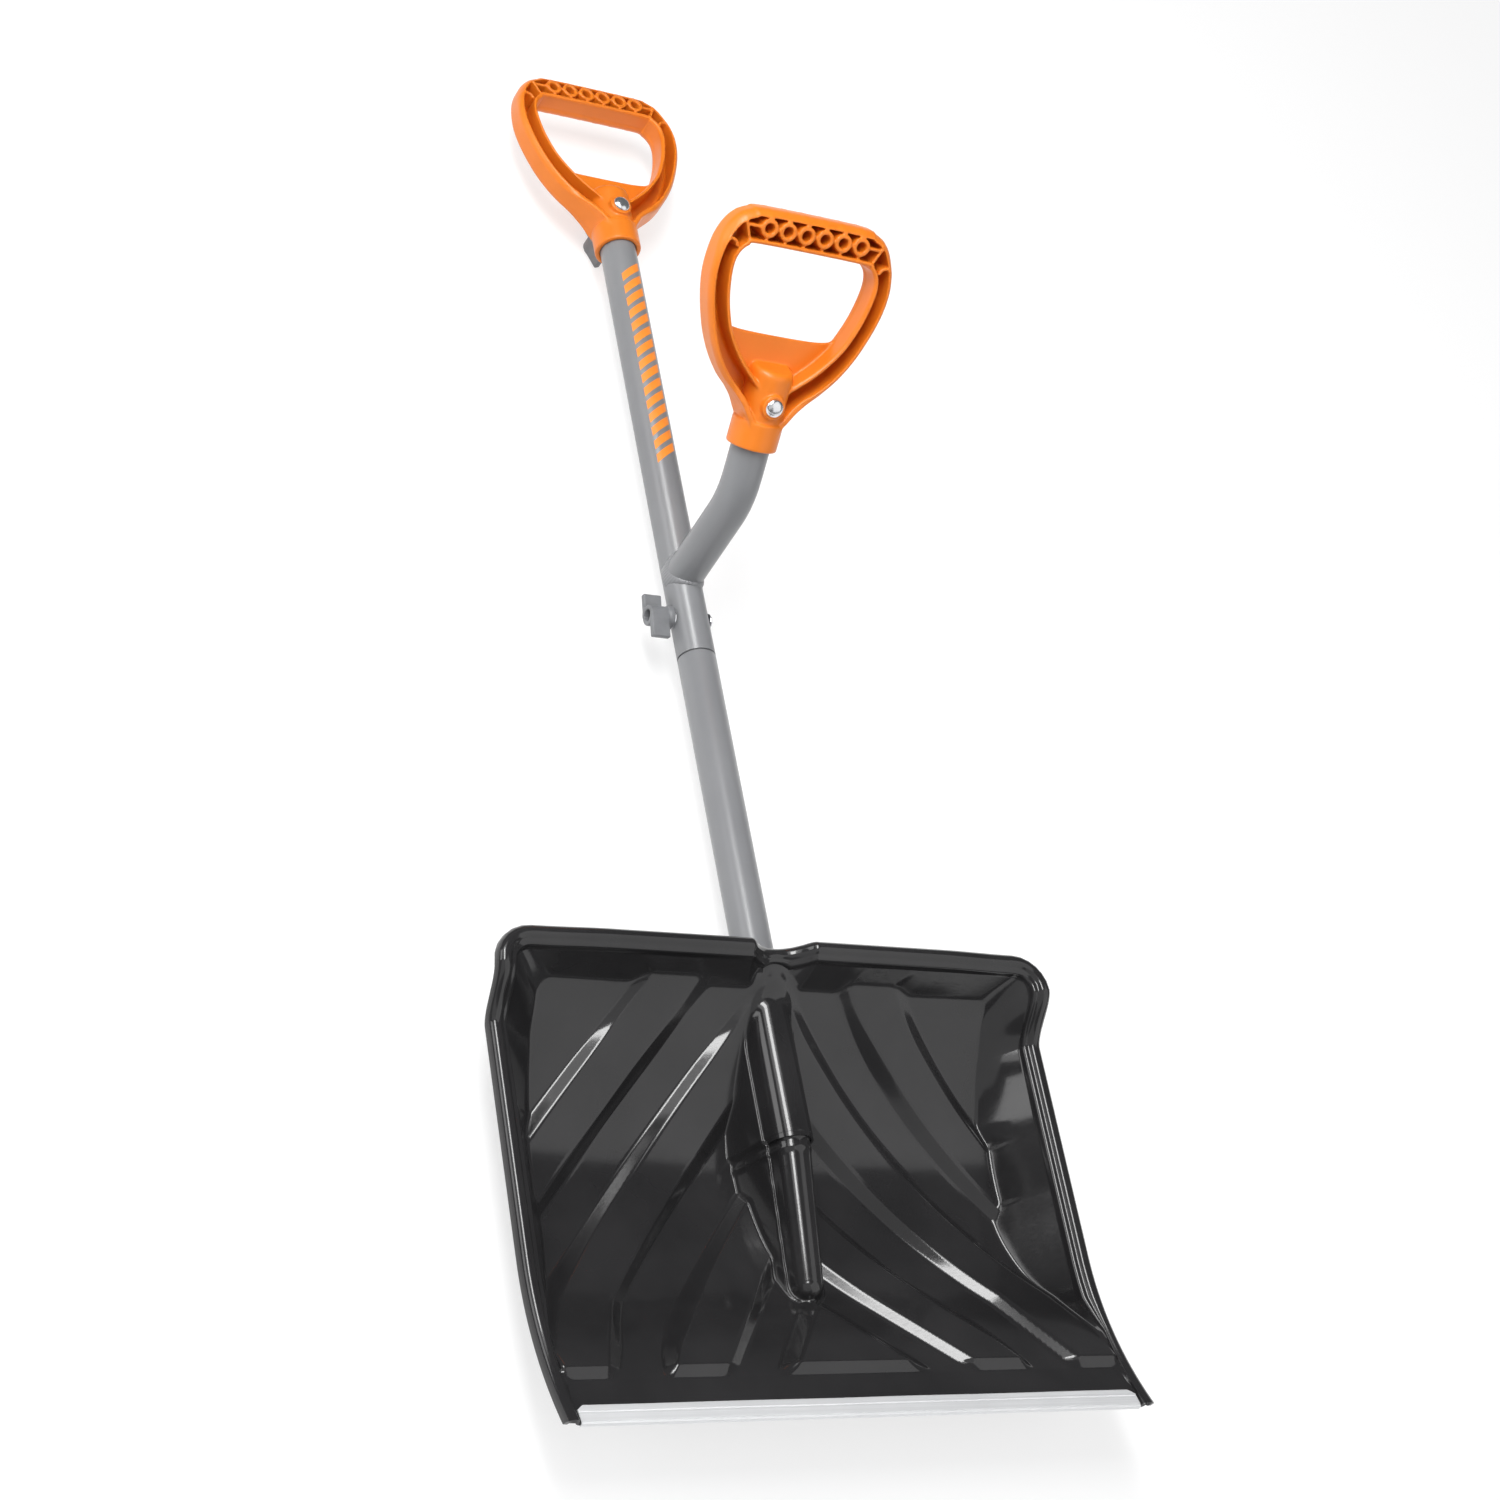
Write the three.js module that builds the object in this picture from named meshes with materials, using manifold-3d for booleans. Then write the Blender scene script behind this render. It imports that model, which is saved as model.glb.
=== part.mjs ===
// Ergonomic snow shovel: a moulded scoop blade on a two-piece tube shaft, a D-shaped grip on
// top and a second D-shaped grip on a bent branch tube. Millimetres, +Z up.
// The shovel lies on its back with the open side of the blade up: +Y runs along the shaft
// from the blade to the top grip, +X is to the right, and the origin is under the middle.
// Parts are modelled in the shaft's frame: x across, y along the shaft, z out of the open side,
// with z = 0 on the shaft's centre line. The last lines set the whole shovel on the ground.
import * as THREE from 'three';
import { mergeVertices } from 'three/addons/utils/BufferGeometryUtils.js';
import Module from 'manifold-3d';

const wasm = await Module();
wasm.setup();

// ---- driving dimensions ----
const gap = 0.3;                       // clearance between pieces that touch
const tubeRadius = 15.425;
const tubeWall = 1.2;

const wall = 3;                        // blade wall
const bladeFront = -389;               // front edge, inside the wear strip
const frontFlat = -357;                // the lip's flat starts here
const frontSlope = 0.465;
const rampSlope = 0.63;
const scoopRadius = 185;               // the scoop's side profile is an arc about this point
const scoopCentre = { y: -197, z: 146 };
const rampTop = -295.6;                // the arc meets the straight ramp here
const rearFoot = -64;                  // the arc meets the rear wall here
const rearRim = { y: -43, z: 48 };
const notch = { halfWidth: 25.7, depth: 15 };
const footHalfWidth = 188;             // floor edge beside the socket
const footFlare = { from: -220, length: 130, out: 27, lipOut: 6, lipLength: 14 };
const footCorner = 10;
const crestHalfWidth = 224;            // rim crest along the sides
const crestCorner = 22;
const crestLow = { front: -270, rear: -93, z: 15, rearRise: 2 };
const tipRise = { z: 28, length: 118 };
// the rear rim falls to this height at its corners
const cornerRim = { y: -65, z: 46, fallFrom: 150, fallTo: 200 };
const flange = { width: 7, drop: 2 };

const rib = { height: 7, slope: 0.85, side: 12, fadeFrom: -346 };
// raised between the 1st and 2nd edge, the 3rd and 4th, the 5th and 6th, and past the 7th
const ribEdges = [110, 59, 12.6, -40, -94, -150, -192];
// where the floor is cut into facets: along the shaft, and along the ribs between their edges
const floorStations = [bladeFront, -373, frontFlat, rib.fadeFrom, -330, -312, rampTop, -272, -246, -220,
  scoopCentre.y, -174, -148, -120, crestLow.rear];
const floorLines = [-290, -240, -172, -67, 26, 34, 85, 150, 190, 240];
const cornerSteps = 3;

const draftAngle = 16;                 // of the socket's sides
const socket = { radius: 17.5, apex: -70, step: -177, shoulder: 0.5, rear: -38, spacing: 12 };
const nose = { radius: 14.6, endRadius: 11.7, endY: -291, drop: 13, round: 11, endTurn: 1.35 };
const screw = { y: -58, shank: 2, head: 5, hole: 2.3, length: 6, headHeight: 2.8, sink: 5.9 };

const strip = {
  halfLength: 219.6, leaf: 16.4, thickness: 1, fold: 6.5, lift: 0.5, round: 0.2, hem: 0.4,
  cut: 9, cutOffset: 1.5,
};

const lowerTubeEnd = -174;
const seamY = 232;
const spigot = { length: 62, radius: tubeRadius - tubeWall - gap, neck: 3, innerNeck: 2, innerNeckEnd: 6 };

const midBoltY = 267;
const bolt = {
  shank: 3.9, chamfer: 0.7, headRadius: 6.6, headHeight: 3.4, headEdge: 0.6, hole: 4.3, beyond: 16,
};
const throughHole = 30;                // half the length of a solid that drills across a tube

const branchStart = { y: 306.1, z: 0 };
const branchCorner = { y: 316.6, z: 99.9 };
const branchBendRadius = 70;
const weld = { bead: 3.4, from: 20, to: 130, reach: 160 };

const topGripY = 677.4;
const auxGrip = { y: 363.9, z: 163.7, tilt: THREE.MathUtils.degToRad(53.4) };

const grip = {
  depth: 24.5, collarRadius: 20, collarFrom: -36.3, blockTo: 28.7, boreTo: 25, tubeTo: 22,
  webBack: -7, webFront: -4, outerWall: 4.4, innerWall: 3.2, backWall: 3, bossRow: 131, bossPitch: 15.9,
  bossCount: 6, bossRadius: 7, bossHole: 4.1, ribThickness: 2.2, ribFrom: 117, ribTo: 147,
  rowRib: 57, cornerRib: { x: 56, from: 100 }, channelFrom: 52, barChannel: { half: 50, to: 139 },
};
// Outline half-widths by distance from the bolt: the outside, the hand opening and the web's pocket.
const outerSide = [[16, -14], [23, -4], [31, 4], [43, 14.5], [54, 28], [64, 46], [72, 68], [76, 86],
  [76.6, 101], [74.8, 116], [70.5, 127.5], [64, 136], [54.5, 141.5], [40, 144.3]];
const innerSide = [[30, 50.5], [43, 52.5], [51, 59], [57.2, 79], [60, 97], [58.5, 108.5], [52.5, 115.8],
  [42, 118.3]];
const webSide = [[14, 2], [30, 16], [43, 34], [49, 47], [30, 47.5]];
const outerSamples = 50;
const innerSamples = 34;

// the unscrewing nuts: a wing knob is a round boss with two flat wings, each flush with one side
// of the boss, and it stands at rest turned this many degrees
const knob = {
  base: 9.6, baseHeight: 3, neckHeight: 4.5, height: 20, bossRadius: 8.4, chamfer: 1,
  wingSpan: 19.6, wingThickness: 5, wingOut: 8.2, wingFrom: 4.5, wingCorner: 1.3,
  bore: 4.9, boreFrom: 9, midTurn: -12.5, topTurn: 69,
};
const insert = { radius: 6.3, from: 0.5, height: 9 };
const washer = { radius: 9, thickness: 1.3 };
const nut = { radius: 7.5, height: 8 };
const threadClearance = 0.3;           // between a bolt's shank and the bore of its nut

// ---- materials ----
const finish = (color, roughness, metalness) => (
  new THREE.MeshStandardMaterial({ color, roughness, metalness }));
const looks = {
  blade: () => finish(0x1c1d1f, 0.25, 0),
  strip: () => finish(0xd6d7d8, 0.35, 0.9),
  tube: () => finish(0x929497, 0.42, 0.5),
  grip: () => finish(0xf58728, 0.45, 0),
  knob: () => finish(0x808286, 0.5, 0),
  bolt: () => finish(0xc4c6c8, 0.25, 1),
};

// ---- geometry to solid and back ----
function solid(geometry) {
  const bare = geometry.clone();
  bare.deleteAttribute('normal');
  bare.deleteAttribute('uv');
  const merged = mergeVertices(bare, 1e-4);
  const mesh = new wasm.Mesh({
    numProp: 3,
    vertProperties: new Float32Array(merged.attributes.position.array),
    triVerts: new Uint32Array(merged.index.array),
  });
  return new wasm.Manifold(mesh);
}

function geometryOf(body) {
  const mesh = body.getMesh();
  const geometry = new THREE.BufferGeometry();
  geometry.setAttribute('position', new THREE.BufferAttribute(new Float32Array(mesh.vertProperties), 3));
  geometry.setIndex(new THREE.BufferAttribute(new Uint32Array(mesh.triVerts), 1));
  geometry.computeVertexNormals();
  return geometry;
}

const shovel = new THREE.Group();

function piece(name, body, material, parent = shovel) {
  const mesh = new THREE.Mesh(geometryOf(body), material());
  mesh.name = name;
  parent.add(mesh);
  return mesh;
}

// A round bar along one axis, from one coordinate to another, through the point `at`.
function bar(axis, radius, from, to, at = [0, 0, 0], sides = 32) {
  const geometry = new THREE.CylinderGeometry(radius, radius, to - from, sides);
  geometry.translate(0, (from + to) / 2, 0);
  if (axis === 'x') geometry.rotateZ(-Math.PI / 2);
  if (axis === 'z') geometry.rotateX(Math.PI / 2);
  return solid(geometry.translate(...at));
}

// A shape turned about +Y from [radius, y] points; it starts and ends on the axis or closes.
function turned(points, sides = 32) {
  return solid(new THREE.LatheGeometry(points.map(([r, y]) => new THREE.Vector2(r, y)), sides));
}

// A flat outline in x and y, raised from z = from to z = to.
function plate(outline, from, to, holes = []) {
  const shape = new THREE.Shape(outline);
  for (const hole of holes) shape.holes.push(new THREE.Path(hole));
  const geometry = new THREE.ExtrudeGeometry(shape, { depth: to - from, bevelEnabled: false });
  return solid(geometry.translate(0, 0, from));
}

const clamp01 = (t) => Math.min(1, Math.max(0, t));
const smooth = (t) => clamp01(t) ** 2 * (3 - 2 * clamp01(t));
const mix = (a, b, t) => a + (b - a) * t;
const radians = THREE.MathUtils.degToRad;

// ---- blade ----
// Height of the scoop's floor along its length, before the ribs.
function floorZ(y) {
  const rampFoot = scoopCentre.z - Math.sqrt(scoopRadius ** 2 - (rampTop - scoopCentre.y) ** 2);
  const flatStart = rampFoot + (rampTop - frontFlat) * rampSlope;
  if (y < frontFlat) return flatStart + (frontFlat - y) * frontSlope;
  if (y < rampTop) return rampFoot + (rampTop - y) * rampSlope;
  return scoopCentre.z - Math.sqrt(scoopRadius ** 2 - (y - scoopCentre.y) ** 2);
}

// The ribs' edges are lines at the same angle: each keeps this one number along its length.
const ribLine = (x, y) => Math.abs(x) + rib.slope * (y - rearFoot);

// 1 on top of a raised band, 0 in the grooves, with sloping sides.
function ribShare(q) {
  const rise = (edge) => clamp01((q - edge) / rib.side + 0.5);
  const [a, b, c, d, e, f, g] = ribEdges.map(rise);
  return (b - a) + (d - c) + (f - e) + (1 - g);
}

const bladeZ = (x, y) => floorZ(y) + rib.height * ribShare(ribLine(x, y))
  * clamp01((y - frontFlat) / (rib.fadeFrom - frontFlat));

const sideFoot = (y) => footHalfWidth + footFlare.out * smooth((footFlare.from - y) / footFlare.length)
  + footFlare.lipOut * clamp01((frontFlat - y) / footFlare.lipLength);

function crestZ(y) {
  if (y < crestLow.front) return crestLow.z + tipRise.z * ((crestLow.front - y) / tipRise.length) ** 2;
  const ear = clamp01((y - crestLow.rear) / (cornerRim.y - crestLow.rear));
  const rise = crestLow.rearRise * clamp01((y - crestLow.front) / (crestLow.rear - crestLow.front));
  return mix(crestLow.z + rise, cornerRim.z, ear);
}

// The wall above a point of the floor's edge: its rim crest and the outward direction there.
function crestOver(x, y) {
  if (y >= rearFoot - 1e-6) {
    const reach = (crestHalfWidth - crestCorner) / (footHalfWidth - footCorner);
    const across = x * reach;
    const dip = 0.5 + 0.5 * Math.cos(Math.PI * Math.min(1, across / notch.halfWidth));
    const fall = clamp01((across - cornerRim.fallFrom) / (cornerRim.fallTo - cornerRim.fallFrom));
    const z = mix(rearRim.z, cornerRim.z, fall) - notch.depth * dip;
    return { x: across, y: rearRim.y, z, angle: Math.PI / 2 };
  }
  const turnStart = rearFoot - footCorner;
  if (y > turnStart) {
    const angle = Math.asin((y - turnStart) / footCorner);
    return {
      x: crestHalfWidth - crestCorner + crestCorner * Math.cos(angle),
      y: rearRim.y - crestCorner + crestCorner * Math.sin(angle), z: cornerRim.z, angle,
    };
  }
  const stretch = (cornerRim.y - crestLow.rear) / (turnStart - crestLow.rear);
  const along = y < crestLow.rear ? y : crestLow.rear + (y - crestLow.rear) * stretch;
  return { x: crestHalfWidth, y: along, z: crestZ(along), angle: 0 };
}

// The blade's upper surface, right half, as triangles of points. The floor is cut along the
// ribs' edges and along stations, then the wall, rim and flange stand on the floor's edge.
function bladeHalf() {
  const triangles = [];
  const fan = (polygon) => {
    for (let i = 1; i + 1 < polygon.length; i += 1) {
      triangles.push([polygon[0], polygon[i], polygon[i + 1]]);
    }
  };
  const stations = [...floorStations];
  for (let i = 0; i <= cornerSteps; i += 1) {
    stations.push(rearFoot - footCorner + footCorner * Math.sin(i / cornerSteps * Math.PI / 2));
  }
  const edgeX = (y) => {
    const over = y - (rearFoot - footCorner);
    if (over <= 0) return sideFoot(y);
    return footHalfWidth - footCorner + Math.sqrt(Math.max(0, footCorner ** 2 - over ** 2));
  };
  const lines = ribEdges.flatMap((edge) => [edge - rib.side / 2, edge + rib.side / 2]);
  lines.push(...floorLines);
  lines.sort((a, b) => a - b);
  const edge = [];                     // the floor's edge, from the front corner to the rear centre
  const cutX = (polygon, side) => {    // keeps the part where side(point) >= 0
    const kept = [];
    polygon.forEach((p, i) => {
      const n = polygon[(i + 1) % polygon.length];
      const [sp, sn] = [side(p), side(n)];
      if (sp >= 0) kept.push(p);
      if ((sp > 0 && sn < 0) || (sp < 0 && sn > 0)) {
        const t = sp / (sp - sn);
        kept.push([mix(p[0], n[0], t), mix(p[1], n[1], t)]);
      }
    });
    return kept;
  };
  for (let j = 0; j + 1 < stations.length; j += 1) {
    const [y0, y1] = [stations[j], stations[j + 1]];
    const [e0, e1] = [edgeX(y0), edgeX(y1)];
    const inside = ([x, y]) => mix(e0, e1, (y - y0) / (y1 - y0)) - x;
    edge.push([e0, y0]);
    for (let k = 0; k + 1 < lines.length; k += 1) {
      const at = (q, y) => [q - rib.slope * (y - rearFoot), y];
      let cell = [at(lines[k], y0), at(lines[k + 1], y0), at(lines[k + 1], y1), at(lines[k], y1)];
      cell = cutX(cutX(cell, ([x]) => x), inside);
      if (cell.length > 2) fan(cell.map(([x, y]) => [x, y, bladeZ(x, y)]));
      const crossing = (q) => {        // where a rib line leaves through this stretch of the edge
        const [s0, s1] = [inside(at(q, y0)), inside(at(q, y1))];
        return s0 * s1 < 0 ? s0 / (s0 - s1) : null;
      };
      const t = crossing(lines[k]);
      if (t !== null) {
        const [a, b] = [at(lines[k], y0), at(lines[k], y1)];
        edge.push([mix(a[0], b[0], t), mix(a[1], b[1], t)]);
      }
    }
  }
  edge.sort((p, q) => p[1] - q[1]);
  const rearCorner = footHalfWidth - footCorner;
  edge.push([rearCorner, rearFoot]);
  for (const q of [...lines].reverse()) if (q > 0 && q < rearCorner) edge.push([q, rearFoot]);
  edge.push([0, rearFoot]);
  const rows = edge.map(([x, y]) => {
    const c = crestOver(x, y);
    const [dx, dy] = [Math.cos(c.angle), Math.sin(c.angle)];
    return [[x, y, bladeZ(x, y)], [c.x, c.y, c.z],
      [c.x + dx * flange.width, c.y + dy * flange.width, c.z - flange.drop]];
  });
  for (let i = 0; i + 1 < rows.length; i += 1) {
    for (let k = 0; k < 2; k += 1) fan([rows[i][k], rows[i][k + 1], rows[i + 1][k + 1], rows[i + 1][k]]);
  }
  return triangles;
}

// The shell between the upper surface and a copy of it, one wall thickness below.
function bladeShell() {
  const half = bladeHalf();
  const mirrored = half.map(([a, b, c]) => [c, b, a].map(([x, y, z]) => [-x, y, z]));
  const flat = [...half, ...mirrored].flat(2);
  const sheet = new THREE.BufferGeometry();
  sheet.setAttribute('position', new THREE.BufferAttribute(new Float32Array(flat), 3));
  const top = mergeVertices(sheet, 1e-3);
  top.computeVertexNormals();
  const [position, normal] = [top.attributes.position, top.attributes.normal];
  const count = position.count;
  const points = new Float32Array(count * 6);
  for (let i = 0; i < count; i += 1) {
    for (let k = 0; k < 3; k += 1) {
      const p = position.getComponent(i, k);
      points[3 * i + k] = p;
      points[3 * (count + i) + k] = p - wall * normal.getComponent(i, k);
    }
  }
  const faces = [];
  const open = new Map();
  const used = top.index.array;
  for (let i = 0; i < used.length; i += 3) {
    const [a, b, c] = [used[i], used[i + 1], used[i + 2]];
    if (a === b || b === c || a === c) continue;
    faces.push(a, b, c, count + c, count + b, count + a);
    for (const [p, q] of [[a, b], [b, c], [c, a]]) {
      if (!open.delete(`${q},${p}`)) open.set(`${p},${q}`, [p, q]);
    }
  }
  for (const [p, q] of open.values()) faces.push(q, p, count + p, q, count + p, count + q);
  const shell = new THREE.BufferGeometry();
  shell.setAttribute('position', new THREE.BufferAttribute(points, 3));
  shell.setIndex(faces);
  return solid(shell);
}

// The socket's ridge: a round top on drafted sides, made smaller by `inset` for its hollow.
function ridge(inset, bottom) {
  const [noseSteps, endSteps, arcSteps] = [8, 4, 12];
  const draft = Math.tan(radians(draftAngle));
  const stations = [];
  for (let y = socket.apex; y > socket.step; y -= socket.spacing) stations.push([y, socket.radius, 0]);
  stations.push([socket.step + socket.shoulder, socket.radius, 0]);
  const length = socket.step - nose.endY;
  const noseRadius = (t) => mix(nose.radius, nose.endRadius, t);
  for (let i = 0; i <= noseSteps; i += 1) {
    const t = i / noseSteps;
    stations.push([socket.step - socket.shoulder - (length - nose.round) * t, noseRadius(t), -nose.drop * t]);
  }
  for (let i = 1; i <= endSteps; i += 1) {
    const angle = i / endSteps * nose.endTurn;
    const y = nose.endY + nose.round * (1 - Math.sin(angle));
    stations.push([y, nose.endRadius * Math.cos(angle), -nose.drop]);
  }
  const section = ([y, radius, z]) => {
    const r = Math.max(0.5, radius - inset);
    const ring = [];
    for (let i = 0; i <= arcSteps; i += 1) {
      const angle = Math.PI * i / arcSteps;
      ring.push([r * Math.cos(angle), y, z + r * Math.sin(angle)]);
    }
    const low = bottom(y);
    const spread = r + Math.max(0, z - low) * draft;
    ring.push([-spread, y, low], [spread, y, low]);
    return ring;
  };
  const rings = stations.map(section);
  const size = rings[0].length;
  const faces = [];
  for (let j = 0; j + 1 < rings.length; j += 1) {
    for (let i = 0; i < size; i += 1) {
      const [a, b] = [j * size + i, j * size + (i + 1) % size];
      faces.push(a, b, b + size, a, b + size, a + size);
    }
  }
  const last = (rings.length - 1) * size;
  for (let i = 1; i + 1 < size; i += 1) faces.push(0, i + 1, i, last, last + i, last + i + 1);
  const geometry = new THREE.BufferGeometry();
  geometry.setAttribute('position', new THREE.BufferAttribute(new Float32Array(rings.flat(2)), 3));
  geometry.setIndex(faces);
  return solid(geometry);
}

function blade() {
  const outer = ridge(0, (y) => Math.min(-2, floorZ(y) - 1));
  const inner = ridge(wall, (y) => floorZ(y) - 10 * wall);
  const collar = bar('y', socket.radius, socket.step - 2, socket.rear);
  const bore = bar('y', tubeRadius + gap, lowerTubeEnd - gap, 0);
  const screwHole = bar('z', screw.hole, -2 * throughHole, 0, [0, screw.y, 0], 12);
  return bladeShell().add(outer).subtract(inner).add(collar).subtract(bore).subtract(screwHole);
}

// ---- wear strip: a folded band of sheet metal round the front edge ----
function wearStrip() {
  const slope = Math.atan(frontSlope);
  const up = (t, s) => [bladeFront + s * Math.cos(slope) + t * Math.sin(slope),
    floorZ(bladeFront) - s * Math.sin(slope) + t * Math.cos(slope)];
  const { leaf, thickness, fold, lift, round, hem } = strip;
  const [inTop, inLow] = [gap, -wall - gap];
  const [outTop, outLow, edge] = [inTop + thickness, inLow - thickness, -gap - thickness + round];
  const profile = [
    [inTop, leaf], [outTop, leaf], [outTop, fold], [outTop - lift / 2, hem], [inTop - round, edge],
    [inLow + round, edge], [outLow, hem], [outLow, leaf], [inLow, leaf], [inLow, -gap], [inTop, -gap],
  ].map(([t, s]) => new THREE.Vector2(...up(t, s)));
  const options = { depth: 2 * strip.halfLength, bevelEnabled: false };
  const band = new THREE.ExtrudeGeometry(new THREE.Shape(profile), options);
  band.rotateY(Math.PI / 2).rotateX(Math.PI / 2).translate(-strip.halfLength, 0, 0);
  let body = solid(band);
  for (const side of [-1, 1]) {
    const corner = new THREE.BoxGeometry(2 * strip.cut, strip.cut, 60).rotateZ(-side * Math.PI / 4);
    const rearY = bladeFront + leaf * Math.cos(slope) + strip.cutOffset;
    corner.translate(side * strip.halfLength, rearY, floorZ(bladeFront));
    body = body.subtract(solid(corner));
  }
  return body;
}

// ---- tubes ----
function lowerTube() {
  const [top, neck] = [seamY + spigot.length, seamY - gap];
  const [inner, spigotInner] = [tubeRadius - tubeWall, spigot.radius - tubeWall];
  const profile = [
    [tubeRadius, lowerTubeEnd], [tubeRadius, neck - spigot.neck], [spigot.radius, neck],
    [spigot.radius, top], [spigotInner, top], [spigotInner, neck - spigot.innerNeck],
    [inner, neck - spigot.innerNeckEnd], [inner, lowerTubeEnd], [tubeRadius, lowerTubeEnd],
  ];
  const boltHole = bar('x', bolt.hole, -throughHole, throughHole, [0, midBoltY, 0], 16);
  const screwHole = bar('z', screw.hole, -throughHole, 0, [0, screw.y, 0], 12);
  return turned(profile).subtract(boltHole).subtract(screwHole);
}

function upperTube() {
  const top = topGripY + grip.tubeTo;
  const inner = tubeRadius - tubeWall;
  const profile = [
    [tubeRadius, seamY], [tubeRadius, top], [inner, top], [inner, seamY], [tubeRadius, seamY],
  ];
  const midHole = bar('x', bolt.hole, -throughHole, throughHole, [0, midBoltY, 0], 16);
  const topHole = bar('z', bolt.hole, -throughHole, throughHole, [0, topGripY, 0], 16);
  return turned(profile).subtract(midHole).subtract(topHole);
}

// The branch tube's centre line: off the shaft, round one bend, into the second grip.
// Both ends are `extra` longer for a solid that cuts right through.
function branchPath(extra) {
  const start = new THREE.Vector3(0, branchStart.y, branchStart.z - extra);
  const corner = new THREE.Vector3(0, branchCorner.y, branchCorner.z);
  const along = new THREE.Vector3(0, Math.cos(auxGrip.tilt), Math.sin(auxGrip.tilt));
  const end = new THREE.Vector3(0, auxGrip.y, auxGrip.z).addScaledVector(along, grip.tubeTo + extra);
  const arrive = corner.clone().sub(start).normalize();
  const reach = branchBendRadius * Math.tan(arrive.angleTo(along) / 2);
  const before = corner.clone().addScaledVector(arrive, -reach);
  const after = corner.clone().addScaledVector(along, reach);
  const path = new THREE.CurvePath();
  path.add(new THREE.LineCurve3(start, before));
  path.add(new THREE.QuadraticBezierCurve3(before, corner, after));
  path.add(new THREE.LineCurve3(after, end));
  return path;
}

function alongBranch(radius, extra = 0) {
  const circle = new THREE.Shape().absarc(0, 0, radius, 0, 2 * Math.PI);
  const options = { steps: 16, curveSegments: 16, bevelEnabled: false, extrudePath: branchPath(extra) };
  return solid(new THREE.ExtrudeGeometry(circle, options));
}

function auxTube() {
  const mainTube = bar('y', tubeRadius + gap, seamY, seamY + weld.reach);
  return alongBranch(tubeRadius).subtract(alongBranch(tubeRadius - tubeWall, 3)).subtract(mainTube)
    .subtract(auxPlace(bar('z', bolt.hole, -throughHole, throughHole, [0, 0, 0], 16)));
}

// The bead of weld fills the corner between the two tubes.
function auxWeld() {
  const onShaft = bar('y', tubeRadius + weld.bead, seamY + weld.from, seamY + weld.to);
  const shaft = bar('y', tubeRadius + gap, seamY, seamY + weld.reach);
  return alongBranch(tubeRadius + weld.bead).intersect(onShaft).subtract(shaft)
    .subtract(alongBranch(tubeRadius + gap, 2));
}

// ---- D-grips ----
// A closed outline through the right-hand points and their mirror images, moved inward by inset.
function outlineOf(side, inset, samples) {
  const left = side.map(([x, y]) => [-x, y]).reverse();
  const curve = new THREE.SplineCurve([...side, ...left, side[0]].map(([x, y]) => new THREE.Vector2(x, y)));
  const points = curve.getSpacedPoints(samples).slice(0, -1);
  return points.map((p, i) => {
    const before = points[(i + points.length - 1) % points.length];
    const after = points[(i + 1) % points.length];
    const along = after.clone().sub(before).normalize();
    return new THREE.Vector2(p.x - along.y * inset, p.y + along.x * inset);
  });
}

function gripBody() {
  const half = grip.depth / 2;
  const { backWall, bossRow, bossPitch, bossRadius, bossHole, ribThickness, rowRib, cornerRib } = grip;
  const { barChannel } = grip;
  const opening = outlineOf(innerSide, 0, innerSamples);
  const body = plate(outlineOf(outerSide, 0, outerSamples), -half, half, [opening]);
  // the open channel, with the bosses and their ribs left standing in it
  let channel = plate(outlineOf(outerSide, grip.outerWall, outerSamples), -half + backWall, half + 1,
    [outlineOf(innerSide, -grip.innerWall, innerSamples)]);
  const deep = (x0, x1, y0, y1) => solid(new THREE.BoxGeometry(x1 - x0, y1 - y0, 2 * half)
    .translate((x0 + x1) / 2, (y0 + y1) / 2, 0));
  const ribAcross = (x, y0, y1) => deep(x - ribThickness / 2, x + ribThickness / 2, y0, y1);
  const bossXs = [...Array(grip.bossCount).keys()].map((i) => (i - (grip.bossCount - 1) / 2) * bossPitch);
  for (const x of bossXs) {
    channel = channel.subtract(bar('z', bossRadius, -half, half + 2, [x, bossRow, 0], 16))
      .subtract(ribAcross(x, grip.ribFrom, grip.ribTo));
  }
  for (const side of [-1, 1]) {
    channel = channel.subtract(ribAcross(side * cornerRib.x, cornerRib.from, grip.ribTo));
  }
  // one rib runs along the row of bosses, and the bar's outer wall is thicker than the rest
  channel = channel.subtract(deep(-rowRib, rowRib, bossRow - ribThickness / 2, bossRow + ribThickness / 2))
    .subtract(deep(-barChannel.half, barChannel.half, barChannel.to, grip.ribTo));
  // below the hand opening the channel keeps clear of the socket's web
  channel = channel.subtract(deep(-60, 60, -30, grip.channelFrom));
  const webOutline = outlineOf(webSide, 0, 30);
  let made = body.subtract(channel).subtract(plate(webOutline, grip.webFront, half + 1))
    .subtract(plate(webOutline, -half - 1, grip.webBack))
    .add(bar('y', grip.collarRadius, grip.collarFrom, grip.blockTo));
  for (const x of bossXs) {
    made = made.subtract(bar('z', bossHole, -half + backWall, half + 2, [x, bossRow, 0], 12));
  }
  return made.subtract(bar('y', tubeRadius + gap, grip.collarFrom - 1, grip.boreTo))
    .subtract(bar('z', bolt.hole, -throughHole, throughHole, [0, 0, 0], 16));
}

// Moves a solid from a grip's frame to the second grip's place on the branch tube.
function auxPlace(body) {
  const turn = new THREE.Matrix4().makeRotationX(auxGrip.tilt).setPosition(0, auxGrip.y, auxGrip.z);
  const geometry = geometryOf(body).applyMatrix4(turn);
  return solid(geometry);
}

// ---- fasteners, along +Z from the seat at z = 0 ----
function carriageBolt(length) {
  const { shank, chamfer, headRadius, headHeight, headEdge } = bolt;
  return turned([
    [0, -length], [shank - chamfer, -length], [shank, -length + chamfer], [shank, 0], [headRadius, 0],
    [headRadius, headEdge], [headRadius * 0.82, headHeight * 0.5], [headRadius * 0.5, headHeight * 0.82],
    [0, headHeight],
  ], 24);
}

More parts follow.
